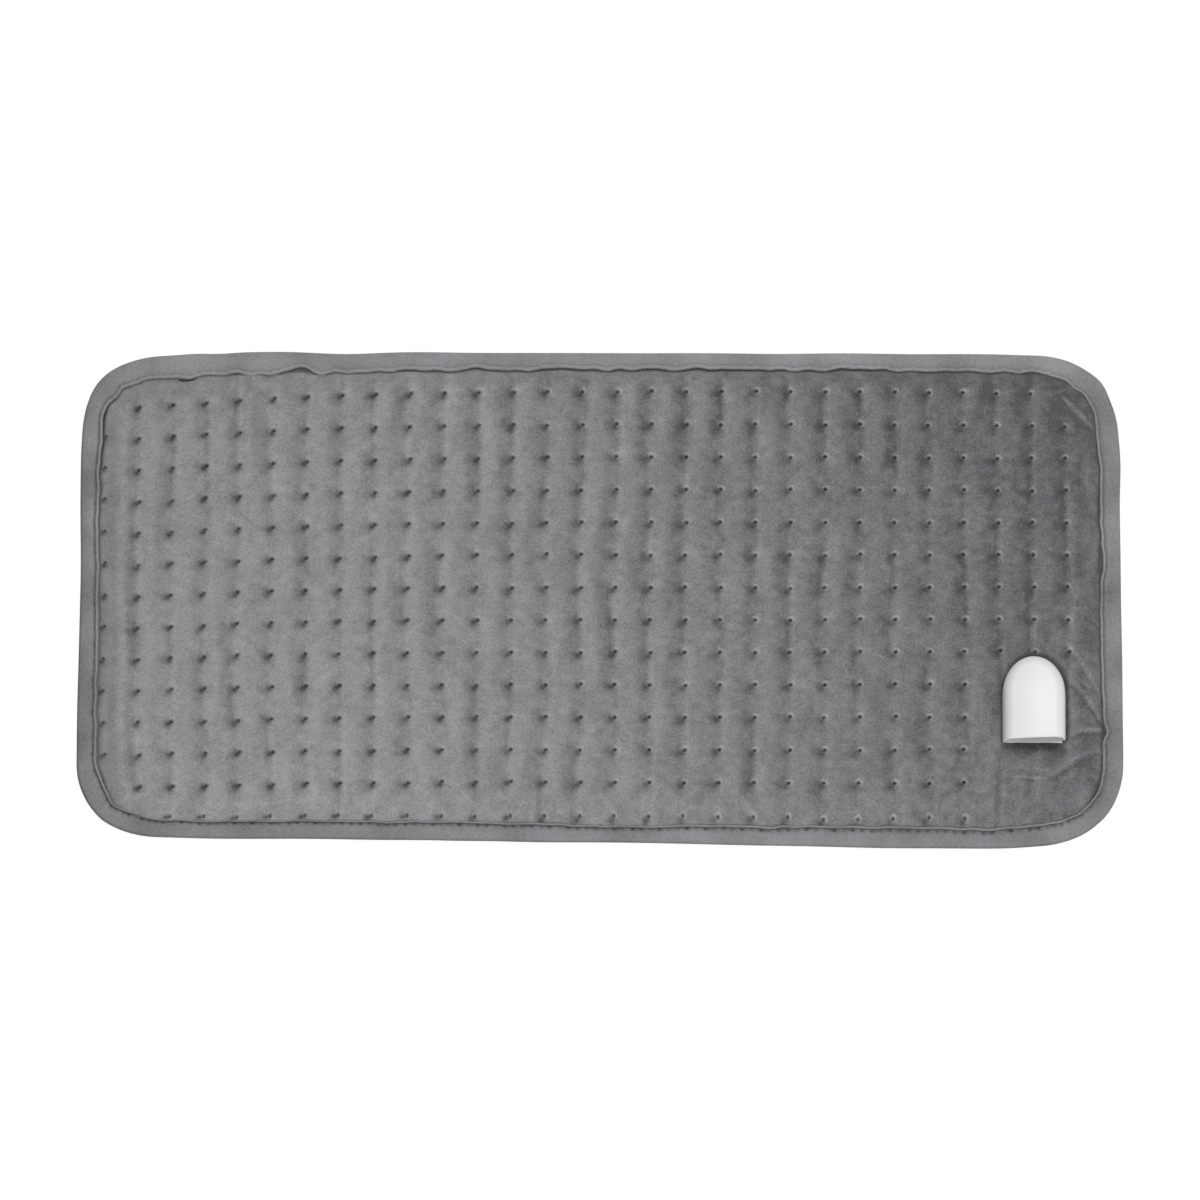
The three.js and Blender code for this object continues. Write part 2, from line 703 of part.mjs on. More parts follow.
// Lead from a contact's tail, down through the spigot and along under the clamp plate to its splice
function lead(contact) {
  const outer = contact === 0 || contact === contactCount - 1;
  const rank = outer ? 2 + contact / (contactCount - 1) : contact - 1;
  const u = contactU(contact);
  const v = spigotV + (rank - (contactCount - 1) / 2) * leadPitch;
  const tail = carrierBack + contactTail + seatGap;
  const low = wireAxis - seatZ;
  const mid = contactHeight / 2;
  const points = [
    [u, tail, contactHeight],
    [u, tail + leadDiameter, contactHeight],
    [u * leadGatherFirst, (tail + v) / 2, contactHeight],
    [u * leadGatherLast, v - leadDiameter / 2, contactHeight - leadDiameter],
    [0, v, mid],
    [0, v, clampTop],
    [-leadDiameter, v, low],
    [-leadFanLength, v, low],
  ];
  if (outer) {
    points.push([topSpliceEnd + spliceLength + seatGap - socketX, v, low]);
  } else {
    const side = sideSpliceU + (0.5 - rank) * leadPitch;
    points.push([side + leadBend / 2, v, low]);
    points.push([side, v - leadBend / 2, low]);
    points.push([side, sideSpliceTop + seatGap, low]);
  }
  const curve = new THREE.CatmullRomCurve3(points.map((p) => new THREE.Vector3(...p)), false, "centripetal");
  return tubeAlong(curve.getSpacedPoints(leadSteps), leadDiameter, wireSides);
}

const pad = new THREE.Group();
pad.add(
  piece("back_cover", backCover(), plush),
  piece("back_batting", layer(battingInset, backBattingBottom, battingThickness), felt),
  piece("wire_scrim", layer(scrimInset, scrimBottom, scrimThickness), felt),
  piece("heating_wire", heatingWire(), silicone),
  piece("thermostat", thermostat(), blackPlastic),
  piece("front_batting", frontBatting(), felt),
  piece("front_cover", frontCover(), plush),
  piece("edge_binding", edgeBinding(), bindingKnit),
);

const returnPath = [thermostatY + thermostatLength + seatGap, mouthY + sideSpliceBottom - seatGap];
const returnLead = returnPath.map((y) => new THREE.Vector3(thermostatX, y, wireAxis));
pad.add(piece("return_lead", tubeAlong(returnLead, leadDiameter, wireSides), silicone));

const topSplice = piece("splice_sleeve_start", spliceSleeve(), shrinkSleeve);
topSplice.position.set(topSpliceEnd, mouthY + topSpliceV, spliceAxis);
const sideSplice = piece("splice_sleeve_return", spliceSleeve().rotateZ(Math.PI / 2), shrinkSleeve);
sideSplice.position.set(thermostatX, mouthY + sideSpliceBottom, spliceAxis);
pad.add(topSplice, sideSplice);

const socket = new THREE.Group();
socket.position.set(socketX, mouthY, seatZ);
socket.add(
  piece("socket_shell", socketShell(), whitePlastic),
  piece("socket_base", socketBase(), whitePlastic),
  piece("contact_block", contactBlock(), blackPlastic),
  piece("clamp_plate", clampPlate(), whitePlastic),
);
for (let contact = 0; contact < contactCount; contact++) {
  const pin = piece(`contact_pin_${contact + 1}`, contactPin(), brass);
  pin.position.set(contactU(contact), 0, contactHeight);
  socket.add(pin, piece(`lead_${contact + 1}`, lead(contact), silicone));
}
screwSpots.forEach(([u, v], spot) => {
  const screw = piece(`clamp_screw_${spot + 1}`, clampScrew(), zincSteel);
  screw.position.set(u, v, 0);
  socket.add(screw);
});
pad.add(socket);

export default pad;
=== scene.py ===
"""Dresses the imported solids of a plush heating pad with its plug-in socket.

Every length is in metres, in the frame of the solids: long side along X, socket mouth facing -Y, +Z up.
"""

import json
import math

import bmesh
import bpy
import numpy as np
from bpy.props import FloatProperty, FloatVectorProperty, PointerProperty
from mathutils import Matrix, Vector


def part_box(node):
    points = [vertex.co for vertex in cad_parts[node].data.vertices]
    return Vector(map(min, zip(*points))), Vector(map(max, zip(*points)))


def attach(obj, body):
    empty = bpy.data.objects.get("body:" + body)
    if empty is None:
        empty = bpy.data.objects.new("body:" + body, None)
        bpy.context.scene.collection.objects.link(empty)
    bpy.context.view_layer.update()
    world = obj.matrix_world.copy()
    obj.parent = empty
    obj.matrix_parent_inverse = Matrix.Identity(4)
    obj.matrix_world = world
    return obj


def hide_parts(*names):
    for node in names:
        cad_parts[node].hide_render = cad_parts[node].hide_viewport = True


bl_info = {
    "name": "Heating Pad",
    "version": (1, 0, 0),
    "blender": (4, 5, 0),
    "location": "View3D > Sidebar > Heating Pad",
    "description": "Dresses the solids of a tufted plush heating pad with its socket",
    "category": "Object",
}

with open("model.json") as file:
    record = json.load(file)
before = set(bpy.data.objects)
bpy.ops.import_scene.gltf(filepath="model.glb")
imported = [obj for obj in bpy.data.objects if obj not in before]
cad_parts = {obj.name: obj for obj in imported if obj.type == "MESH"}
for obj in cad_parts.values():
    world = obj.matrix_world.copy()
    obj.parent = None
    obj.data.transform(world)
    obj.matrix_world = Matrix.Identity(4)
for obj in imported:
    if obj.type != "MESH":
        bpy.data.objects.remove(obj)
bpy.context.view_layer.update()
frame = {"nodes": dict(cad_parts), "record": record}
binding_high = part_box("edge_binding")[1]
shell_low, shell_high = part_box("socket_shell")

MM = 0.001
PAD_HALF = np.array([binding_high.x, binding_high.y])
SOCKET_X = (shell_low.x + shell_high.x) / 2
SOCKET_HALF = (shell_high.x - shell_low.x) / 2
# Middle of the pad as it lies, in mm
LAID_X, LAID_Y = 0.4, -0.8
COLUMNS = 29
ROWS = 14
# How far in the last row of tufts lies from its place in the grid
LAST_ROW = 1.8 * MM
# How far in the lower tufts of the first column lie, by the square of the rows below its middle
FIRST_COLUMN_BOW = 0.055 * MM
FIRST_COLUMN_MIDDLE = 6
# Lines of the cover's grid beside each tuft, in mm: as shown, as it settles, and on the back
FINE_LINES = (0.4, 0.8, 1.25, 1.8, 2.5, 3.4, 4.6, 6.2, 8.0)
COARSE_LINES = (1.6, 5.0)
BACK_LINES = (0.8, 1.8, 4.0)
# How the tufts wander as the pad lies, in mm: powers of the column down, of the row across
DRIFT_X = np.array(
    [
        [1.21, -0.87, 0.19, -0.05],
        [2.69, -0.74, -1.71, -1.42],
        [-0.01, 1.76, 0.27, 0],
        [-2.83, 0.58, 0, 0],
        [-0.74, 0, 0, 0],
    ]
)
DRIFT_Y = np.array(
    [
        [1.96, 0.25, 0.52, -0.59],
        [0.68, 0.6, -0.24, -0.32],
        [-2.37, 2.37, -0.84, 0],
        [2.92, -0.42, 0, 0],
        [-0.8, 0, 0, 0],
    ]
)
# Where the soft edge lies off its cut shape: x, y, shift in x, shift in y and reach, all in mm
SHIFTS = [
    (-262, 152, 0, -2.8, 26),
    (-295, 138, -1.3, 1.2, 18),
    (-150, 152, 0, -0.7, 22),
    (265, 152, 0, -1.0, 26),
    (301, 121, -1.2, -0.5, 20),
    (305, 82, 0.7, 0, 16),
    (297, 134, 0.8, 0.8, 9),
    (-223, 152, 0, -0.75, 11),
    (-304, 110, 0.8, 0, 13),
    (269, -151, 0, 2.5, 24),
    (300, -118, -0.8, 0.3, 16),
    (165, -152, 0, -0.8, 60),
    (-220, -152, 0, -1.1, 60),
    (-78, -152, 0, -0.6, 20),
    (-305, 0, 0.9, 0, 40),
]
# Kinks in the sewn lip: x, y, how far out they go and how long they are, all in mm
KINKS = [
    (-203, 152, -1.6, 5),
    (-214, 152, 0.6, 6),
    (-164, 152, -0.9, 5),
    (305, -83, 2.4, 5),
    (305, -68, 1.1, 20),
    (303, -122, 1.2, 9),
    (305, 103, -0.8, 12),
    (305, 55, 0.9, 10),
    (305, 17, 2.2, 6),
    (305, 26, 2.0, 7),
    (305, 44, 0.7, 16),
    (-172, 152, 2.0, 7),
    (-299, 106, -1.9, 13),
    (-299, -72, -1.0, 36),
    (-297, -117, -2.8, 14),
    (-272, -147, -1.7, 10),
    (22, -152, 1.4, 27),
    (-105, -152, -0.4, 30),
    (-154, -152, -0.4, 22),
    (104, -152, 1.0, 6),
    (165, -152, -0.6, 25),
    (225, -152, 0.5, 20),
    (117, -152, -0.6, 12),
    (253, -152, -0.5, 14),
]
# Creases in the front cover: from x, y to x, y, height and half width, all in mm
CREASES = [
    (270, 125, 291, 103, 1.35, 3.0),
    (266, 121, 276, 129, 0.9, 2.0),
    (273, -34, 293, -62, 0.9, 2.4),
    (276, -58, 296, -80, 1.1, 2.6),
    (274, -92, 296, -80, 1.4, 2.4),
    (262, -118, 288, -98, 1.1, 3.0),
    (240, -112, 262, -113, 0.8, 1.4),
    (242, -117, 260, -118, 0.7, 1.4),
]
# Screw bosses under the socket's roof: across from its middle line and back from its mouth, in mm
BOSSES = [(-11, 29.2), (11, 29.2), (0, 44.5)]
# Frames for which the front cover settles as cloth
SETTLE_FRAMES = 18


def linear(code):
    """Linear colour of an sRGB hex code."""
    parts = [int(code[i : i + 2], 16) / 255 for i in (1, 3, 5)]
    return tuple(p / 12.92 if p <= 0.04045 else ((p + 0.055) / 1.055) ** 2.4 for p in parts)


def length(name, description, default):
    return FloatProperty(name=name, description=description, default=default, unit="LENGTH", precision=5)


def colour(name, description, code):
    return FloatVectorProperty(
        name=name, description=description, default=linear(code), subtype="COLOR", min=0, max=1
    )


class PadSizes(bpy.types.PropertyGroup):
    corner_radius: length("Corner radius", "Radius of the pad's corners", 48 * MM)
    tuft_pitch_x: length("Tuft pitch along", "Distance between tuft columns", 20.15 * MM)
    tuft_pitch_y: length("Tuft pitch across", "Distance between tuft rows", 20.3 * MM)
    tuft_left: length("Left margin", "From the left edge to the first tuft column", 14.5 * MM)
    tuft_top: length("Far margin", "From the far edge to the first tuft row", 28.3 * MM)
    dimple_depth: length("Dimple depth", "How far the plush sinks round a tuft", 1.2 * MM)
    dimple_radius: length("Dimple radius", "How far from a tuft the plush sinks", 4.4 * MM)
    pit_depth: length("Pit depth", "Depth of the pinch at a tuft", 1.7 * MM)
    pit_radius: length("Pit radius", "Radius of the pinch at a tuft", 1.15 * MM)
    ridge_height: length("Ridge height", "Height of the soft ridges between tuft columns", 1.15 * MM)
    rim_rise: length("Rim rise", "Width over which the plush swells from the binding", 15 * MM)
    spare_cloth: FloatProperty(
        name="Spare cloth",
        description="Extra cloth between tuft columns, as a share of the pitch",
        default=0.02,
        subtype="FACTOR",
    )


class EdgeSizes(bpy.types.PropertyGroup):
    width: length("Binding width", "From the pad's edge to the inner lip of the tape", 11.8 * MM)
    lip: length("Lip width", "From the stitch line to the inner lip", 2.6 * MM)
    wave: length("Lip wave", "How far the sewn lip wanders", 0.3 * MM)
    pucker: length("Pucker", "Height of the puckers that the stitches pull up", 0.1 * MM)
    stitch_pitch: length("Stitch pitch", "From one stitch to the next", 5.3 * MM)
    stitch_length: length("Stitch length", "Thread that shows in each stitch", 3.6 * MM)
    thread: length("Thread", "Thickness of the sewing thread", 0.42 * MM)


class SocketSizes(bpy.types.PropertyGroup):
    nose: length("Nose length", "Length of the rounded end", 23 * MM)
    hood: length("Hood", "How far the mouth's roof leans out over its foot", 2.4 * MM)
    skew: length("Mouth skew", "How far the mouth's left side stands forward of its middle", 0.7 * MM)
    wall: length("Wall", "Thickness of the shell", 1.8 * MM)
    side_height: length("Side height", "Height of the straight sides", 6 * MM)
    side_draft: length("Side draft", "How far the sides lean in", 0.3 * MM)
    shoulder_run: length("Shoulder run", "Width of the rounded shoulder", 7 * MM)
    shoulder_rise: length("Shoulder rise", "Height of the rounded shoulder", 7.2 * MM)
    crown_rise: length("Crown rise", "How far the top is crowned", 0.8 * MM)
    mouth_fillet: length("Mouth fillet", "Rounding of the mouth's rim", 1.0 * MM)


class PadColours(bpy.types.PropertyGroup):
    plush_light: colour("Plush, light", "Pile that lies towards the light", "#acacaf")
    plush_dark: colour("Plush, dark", "Pile that lies away from the light", "#515154")
    binding: colour("Binding", "Knit tape round the edge", "#89898c")
    thread: colour("Thread", "Sewing thread of the binding", "#7c7c80")
    felt: colour("Felt", "Layers inside the pad", "#dcd9d2")
    abs_white: colour("White ABS", "Socket shell", "#e1e1e1")
    abs_inner: colour("Natural ABS", "Socket base and clamp", "#fcfcfc")
    silicone: colour("Silicone", "Insulation of the wire and leads", "#e9e6de")
    pbt_black: colour("Black PBT", "Contact block and thermostat", "#2b2b2d")
    sleeve: colour("Shrink sleeve", "Sleeves over the splices", "#35353a")
    brass: colour("Brass", "Contact pins", "#d8b25c")
    zinc: colour("Zinc steel", "Clamp screws", "#b9bcc0")


# Plan and noise


def ramp(value, start, run):
    """Rises from 0 at the start to 1 after the run."""
    return np.clip((value - start) / run, 0, 1)


def bump(off, reach):
    """Bell of height 1 that fades over its reach."""
    return np.exp(-((off / reach) ** 2))


def spot(xy, x, y, reach):
    """Round bell of height 1 at a place."""
    return np.exp(-((xy[..., 0] - x) ** 2 + (xy[..., 1] - y) ** 2) / reach**2)


def span(vectors):
    """Lengths of vectors in plan."""
    return np.hypot(vectors[..., 0], vectors[..., 1])


def edge_distance(xy, half, radius):
    """How far inside a rounded rectangle each point is."""
    past = np.abs(xy) - (half - radius)
    return radius - np.where((past > 0).all(-1), span(np.maximum(past, 0)), past.max(-1))


def lip_inset(xy):
    """How far in the sewn lip of the binding lies: the tape was folded wider along some sides."""
    sizes = bpy.context.scene.edge_sizes
    place = xy / MM
    x, y = place[..., 0], place[..., 1]
    right, left, far, near = ramp(x, 260, 45), ramp(-x, 260, 45), ramp(y, 120, 32), ramp(-y, 120, 32)
    wide = 0.8 * right - 1.0 * left
    wide = wide + far * (-1.2 - 0.0026 * x + 4.5e-5 * x**2) + near * (-0.3 - 0.0042 * x + 1.3e-5 * x**2)
    for kink_x, kink_y, out, long in KINKS:
        wide = wide - out * spot(place, kink_x, kink_y, long)
    # The wander is read off the rim, so that the plush beside the lip follows it
    radius = bpy.context.scene.pad_sizes.corner_radius
    middle = np.clip(xy, radius - PAD_HALF, PAD_HALF - radius)
    apart = np.maximum(np.linalg.norm(xy - middle, axis=-1, keepdims=True), 0.1 * MM)
    rim = middle + (xy - middle) * radius / apart
    wander = 0.75 * ripples(rim, 34 * MM, 31) + (0.6 + 0.5 * far) * ripples(rim, 14 * MM, 32)
    return sizes.width + wide * MM + sizes.wave * (1 + 0.5 * far) * wander


def socket_distance(xy):
    """How far outside the socket's foot each point is, negative inside."""
    nose = bpy.context.scene.socket_sizes.nose
    x, y = xy[..., 0] - SOCKET_X, xy[..., 1] - shell_low.y
    straight = shell_high.y - shell_low.y - nose
    round_nose = SOCKET_HALF * (np.hypot(x / SOCKET_HALF, np.maximum(y - straight, 0) / nose) - 1)
    return np.maximum(round_nose, -y)


def lay(xy):
    """Plan of the pad as it lies: bowed, a little wider towards the socket, its soft edge out of line."""
    place = xy / MM
    x, y = place[..., 0], place[..., 1]
    across, up = x / (PAD_HALF[0] / MM), y / (PAD_HALF[1] / MM)
    bow = 4.0 * np.maximum(0, 1 - ((x + 8.4) / 282) ** 2)
    far, near = ramp(up, 0.81, 0.19), ramp(-up, 0.916, 0.084)
    laid_x = x - bow - across * (0.35 + 1.5 * up)
    laid_y = y * (0.9984 + 4.84e-5 * (x - 11.75)) + far * (1.2 - 0.0103 * x) + near * (0.35 - 0.0086 * x)
    for shift_x, shift_y, by_x, by_y, reach in SHIFTS:
        share = spot(place, shift_x, shift_y, reach)
        laid_x, laid_y = laid_x + by_x * share, laid_y + by_y * share
    return np.stack([laid_x + LAID_X, laid_y + LAID_Y], -1) * MM


def ripples(xy, wavelength, seed, stretch=(1, 1), waves=28):
    """Smooth noise of unit strength, about one wavelength from crest to crest."""
    rng = np.random.default_rng(seed)
    angle = rng.uniform(0, 2 * np.pi, waves)
    size = 2 * np.pi / (wavelength * rng.uniform(0.7, 1.6, waves))
    turns = np.stack([np.cos(angle) * size / stretch[0], np.sin(angle) * size / stretch[1]])
    return np.cos(xy @ turns + rng.uniform(0, 2 * np.pi, waves)).sum(-1) * math.sqrt(2 / waves)


def ripples_round(along, perimeter, wavelength, seed, waves=16):
    """Smooth noise of unit strength along a closed line."""
    rng = np.random.default_rng(seed)
    cycles = np.round(perimeter / (wavelength * rng.uniform(0.7, 1.6, waves)))
    phase = rng.uniform(0, 2 * np.pi, waves)
    turns = 2 * np.pi * along[..., None] / perimeter
    return np.cos(turns * cycles + phase).sum(-1) * math.sqrt(2 / waves)


def refine(values, old, new):
    """Values on new lines, by a smooth cubic through the values on old lines, along the first axis."""
    slope = np.gradient(values, old, axis=0)
    k = np.clip(np.searchsorted(old, new, side="right") - 1, 0, len(old) - 2)
    gap = (old[k + 1] - old[k])[:, None, None]
    t = (new - old[k])[:, None, None] / gap
    low = (1 + 2 * t) * (1 - t) ** 2 * values[k] + t * (1 - t) ** 2 * gap * slope[k]
    high = t**2 * (3 - 2 * t) * values[k + 1] + t**2 * (t - 1) * gap * slope[k + 1]
    return low + high


# Pieces


def add_piece(name, points, faces, material, attributes=None, smooth=True):
    mesh = bpy.data.meshes.new(name)
    mesh.from_pydata(np.asarray(points).reshape(-1, 3).tolist(), [], [list(map(int, f)) for f in faces])
    for key, values in (attributes or {}).items():
        kind, field = ("FLOAT", "value") if np.ndim(values) == 1 else ("FLOAT_VECTOR", "vector")
        mesh.attributes.new(key, kind, "POINT").data.foreach_set(field, np.ravel(values).astype(np.float32))
    mesh.polygons.foreach_set("use_smooth", [smooth] * len(mesh.polygons))
    mesh.materials.append(material)
    piece = bpy.data.objects.new(name, mesh)
    bpy.context.collection.objects.link(piece)
    return piece


def face_out(piece):
    """Drops loose points, joins doubled ones and turns the faces outwards."""
    shape = bmesh.new()
    shape.from_mesh(piece.data)
    bmesh.ops.delete(shape, geom=[v for v in shape.verts if not v.link_faces], context="VERTS")
    bmesh.ops.remove_doubles(shape, verts=shape.verts, dist=1e-6)
    bmesh.ops.recalc_face_normals(shape, faces=shape.faces)
    shape.to_mesh(piece.data)
    shape.free()


def grid_faces(rows, columns):
    """Quads of a grid of points, and the number of each point in it."""
    index = np.arange(rows * columns).reshape(rows, columns)
    quads = np.stack([index[:-1, :-1], index[1:, :-1], index[1:, 1:], index[:-1, 1:]], -1)
    return quads.reshape(-1, 4), index


def strip_faces(first, second):
    """Quads between two open lines of points."""
    return np.stack([first[:-1], first[1:], second[1:], second[:-1]], -1).tolist()


def loop_faces(first, second):
    """Quads between two closed lines of points."""
    return strip_faces(np.append(first, first[0]), np.append(second, second[0]))


# Materials


def feed(tree, node, links):
    """Gives each input its value or the socket that feeds it."""
    for key, value in links.items():
        if isinstance(value, bpy.types.NodeSocket):
            tree.links.new(value, node.inputs[key])
        else:
            node.inputs[key].default_value = value


def add_node(tree, kind, links=None, **settings):
    """New node with its settings. Each link is a value for an input or a socket that feeds it."""
    node = tree.nodes.new(kind)
    for key, value in settings.items():
        setattr(node, key, value)
    feed(tree, node, links or {})
    return node


def calc(tree, operation, *values, clamp=False):
    """Result of an operation on sockets and numbers."""
    links = dict(enumerate(values))
    return add_node(tree, "ShaderNodeMath", links, operation=operation, use_clamp=clamp).outputs[0]


def blend(tree, share, low, high):
    """Colour between two others, each a socket or a tint."""
    ends = [end if isinstance(end, bpy.types.NodeSocket) else (*end, 1) for end in (low, high)]
    return add_node(tree, "ShaderNodeMix", {0: share, 6: ends[0], 7: ends[1]}, data_type="RGBA").outputs[2]


def noise(tree, size, detail, roughness=0.5, distortion=0.0):
    """Noise with features of a given size, fixed to the object."""
    place = add_node(tree, "ShaderNodeTexCoord").outputs["Object"]
    looks = {"Scale": 1 / size, "Detail": detail, "Roughness": roughness, "Distortion": distortion}
    return add_node(tree, "ShaderNodeTexNoise", {"Vector": place, **looks}).outputs["Fac"]


def stored(tree, name, output="Fac"):
    """Value stored on the points of the mesh."""
    return add_node(tree, "ShaderNodeAttribute", attribute_name=name).outputs[output]


def grained(tree, height, deep, strength):
    """Normal of a surface with a fine relief of a given depth."""
    return add_node(tree, "ShaderNodeBump", {"Strength": strength, "Distance": deep, "Height": height}).outputs[0]


def spread(tree, value, middle, by):
    """Value that noise moves either way from its middle."""
    links = {"Value": value, "To Min": middle - by, "To Max": middle + by}
    return add_node(tree, "ShaderNodeMapRange", links).outputs[0]


def shaded(tint, share):
    return tuple(min(1, c * share) for c in tint)


def new_material(name):
    material = bpy.data.materials.get(name) or bpy.data.materials.new(name)
    material.use_nodes = True
    tree = material.node_tree
    tree.nodes.clear()
    shader = add_node(tree, "ShaderNodeBsdfPrincipled")
    add_node(tree, "ShaderNodeOutputMaterial", {"Surface": shader.outputs[0]})
    return material, tree, shader


def micro_plush():
    """Short brushed polyester pile: matt, mottled where the pile lies another way, with painted light and shade
    mixed into its colour, soft light at grazing angles.
    """
    colours = bpy.context.scene.pad_colours
    material, tree, shader = new_material("micro_plush")
    nap_and_painted_light = stored(tree, "nap_and_painted_light")
    # Tufts of pile about 1.3 mm across, drawn coarser than the fibres so that they show
    grain = noise(tree, 1.3 * MM, 3.0, 0.75)
    fine = calc(tree, "MULTIPLY_ADD", grain, 1.05, -0.525)
    mottled = calc(tree, "MULTIPLY_ADD", noise(tree, 7 * MM, 3.0, 0.6), 0.3, -0.15)
    # Pile that lies away from the light shows less of its grain
    lively = calc(tree, "MULTIPLY_ADD", nap_and_painted_light, 0.6, 0.67)
    both = calc(tree, "MULTIPLY", calc(tree, "ADD", fine, mottled), lively)
    pile = blend(tree, calc(tree, "ADD", both, nap_and_painted_light, clamp=True), colours.plush_dark, colours.plush_light)
    # Painted shade from the pinch map, towards the dark colour of the pile's roots: in the pits and their smears,
    # where the plush tucks under the lip and where it meets the socket
    depth = calc(tree, "MULTIPLY", stored(tree, "pinch"), 0.92, clamp=True)
    looks = {
        "Base Color": blend(tree, depth, pile, shaded(colours.plush_dark, 0.28)),
        "Normal": grained(tree, grain, 0.5 * MM, 0.6),
        "Roughness": 0.95,
        "Specular IOR Level": 0.15,
        "Sheen Weight": 0.22,
        "Sheen Roughness": 0.45,
        "Sheen Tint": (0.8, 0.8, 0.82, 1),
    }
    feed(tree, shader, looks)
    return material


def knit_tape():
    """Fine warp-knit polyester tape: smooth, with faint wales along its length."""
    tint = bpy.context.scene.pad_colours.binding
    material, tree, shader = new_material("knit_tape")
    # Wales 0.9 mm apart, drawn about twice as coarse as the real ones so that they show
    scale = 2 * math.pi / 20 / (0.9 * MM)
    links = {"Vector": stored(tree, "tape", "Vector"), "Scale": scale, "Distortion": 0.6, "Detail": 1.0}
    wales = add_node(tree, "ShaderNodeTexWave", links, bands_direction="Y").outputs["Fac"]
    fuzz = noise(tree, 1.1 * MM, 3.0, 0.6)
    uneven = calc(tree, "ADD", fuzz, noise(tree, 28 * MM, 2.0))
    worn = calc(tree, "MULTIPLY_ADD", uneven, 0.9, -0.4)
    # Painted light and shade on the flat tape by its side, its lip and its outer rounding
    share = calc(tree, "ADD", worn, stored(tree, "painted_sheen"), clamp=True)
    dark = shaded(tint, 0.55)
    flat = blend(tree, share, dark, shaded(tint, 1.45))
    # Painted shade in the folds, the stitch groove and the stitch ticks
    deep = calc(tree, "MULTIPLY", stored(tree, "painted_fold_shade"), 0.6, clamp=True)
    looks = {
        "Base Color": blend(tree, deep, flat, shaded(dark, 0.2)),
        "Normal": grained(tree, calc(tree, "ADD", wales, fuzz), 0.25 * MM, 0.35),
        "Roughness": 0.85,
        "Specular IOR Level": 0.25,
        "Sheen Weight": 0.15,
        "Sheen Roughness": 0.4,
    }
    feed(tree, shader, looks)
    return material


def moulded(name, tint, roughness, texture_size, strength):
    """Moulded plastic or rubber: the tool's fine spark texture breaks up the highlight."""
    material, tree, shader = new_material(name)
    flow = noise(tree, 20 * MM, 1.0)
    looks = {
        "Base Color": blend(tree, flow, shaded(tint, 0.97), tint),
        "Roughness": spread(tree, flow, roughness, 0.05),
        "Normal": grained(tree, noise(tree, texture_size, 2.0), 0.05 * MM, strength),
    }
    feed(tree, shader, looks)
    return material


def felted(name, tint, fibre):
    """Needle-punched fibre: matt, with fibres lying every way."""
    material, tree, shader = new_material(name)
    fibres = noise(tree, fibre, 5.0, distortion=1.5)
    looks = {
        "Base Color": blend(tree, fibres, shaded(tint, 0.8), tint),
        "Normal": grained(tree, fibres, 0.3 * MM, 0.5),
        "Roughness": 1.0,
    }
    feed(tree, shader, looks)
    return material


def machined(name, tint, roughness):
    """Turned or plated metal: fine tool marks spread the highlight."""
    material, tree, shader = new_material(name)
    marks = noise(tree, 0.4 * MM, 2.0)
    looks = {"Base Color": (*tint, 1), "Metallic": 1.0, "Roughness": spread(tree, marks, roughness, 0.08)}
    feed(tree, shader, looks)
    return material


# Plush covers


class Tufts:
    """Places of the tufts on the flat pad, each with its own small wander, depth and turn."""

    def __init__(self):
        sizes = bpy.context.scene.pad_sizes
        self.pitch = np.array([sizes.tuft_pitch_x, -sizes.tuft_pitch_y])
        self.first = np.array([sizes.tuft_left - PAD_HALF[0], PAD_HALF[1] - sizes.tuft_top])
        rng = np.random.default_rng(7)
        column, row = np.meshgrid(np.arange(COLUMNS), np.arange(ROWS), indexing="ij")
        self.spots = self.first + np.stack([column, row], -1) * self.pitch
        inside = edge_distance(self.spots, PAD_HALF, sizes.corner_radius) > 10.8 * MM
        clear = (self.spots[..., 0] < shell_low.x - 12 * MM) | (self.spots[..., 1] > shell_high.y)
        self.sewn = inside & clear
        self.sewn[-1, 0] = False
        self.spots[:, -1, 1] += LAST_ROW
        below = np.maximum(np.arange(ROWS) - FIRST_COLUMN_MIDDLE, 0)
        self.spots[0, :, 0] += FIRST_COLUMN_BOW * below**2
        self.spots += rng.normal(0, 0.25 * MM, self.spots.shape)
        self.depth = rng.uniform(0.75, 1.15, self.sewn.shape) * self.sewn
        self.turn = rng.uniform(0, 2 * np.pi, self.sewn.shape)

    def centres(self, axis):
        """Where the tuft lines cross one axis, with one line more at each end."""
        steps = np.arange(-1, (COLUMNS, ROWS)[axis] + 1)
        lines = self.first[axis] + steps * self.pitch[axis]
        if axis == 1:
            lines[-2] += LAST_ROW
        return np.sort(lines)

    def drift(self, xy):
        """How far the plush wanders at each point, fading out towards the binding."""
        place = (xy - self.first) / self.pitch
        across, down = 2 * place[..., 0] / (COLUMNS - 1) - 1, 2 * place[..., 1] / (ROWS - 1) - 1
        moved = [np.polynomial.polynomial.polyval2d(across, down, powers) for powers in (DRIFT_X, DRIFT_Y)]
        inset = edge_distance(xy, PAD_HALF, bpy.context.scene.pad_sizes.corner_radius)
        return np.stack(moved, -1) * MM * ramp(inset, 11 * MM, 14 * MM)[..., None]

    def nearest(self, xy):
        """For each point: the vector from its nearest tuft, that tuft's depth and its turn."""
        index = np.round((xy - self.first) / self.pitch).astype(int)
        i = np.clip(index[..., 0], 0, COLUMNS - 1)
        j = np.clip(index[..., 1], 0, ROWS - 1)
        return xy - self.spots[i, j], self.depth[i, j], self.turn[i, j]


def grid_lines(half, centres, steps):
    """Lines across the pad that pass through every tuft and draw together near it."""
    rim_gap, least_gap = 0.7 * MM, 0.25 * MM
    beside = np.concatenate([[0], steps, -steps])
    lines = np.concatenate([(centres[:, None] + beside).ravel(), (centres[1:] + centres[:-1]) / 2])
    lines = np.sort(lines[np.abs(lines) < half - rim_gap])
    lines = lines[np.diff(lines, prepend=-half) > least_gap]
    return np.concatenate([[-half], lines, [half]])


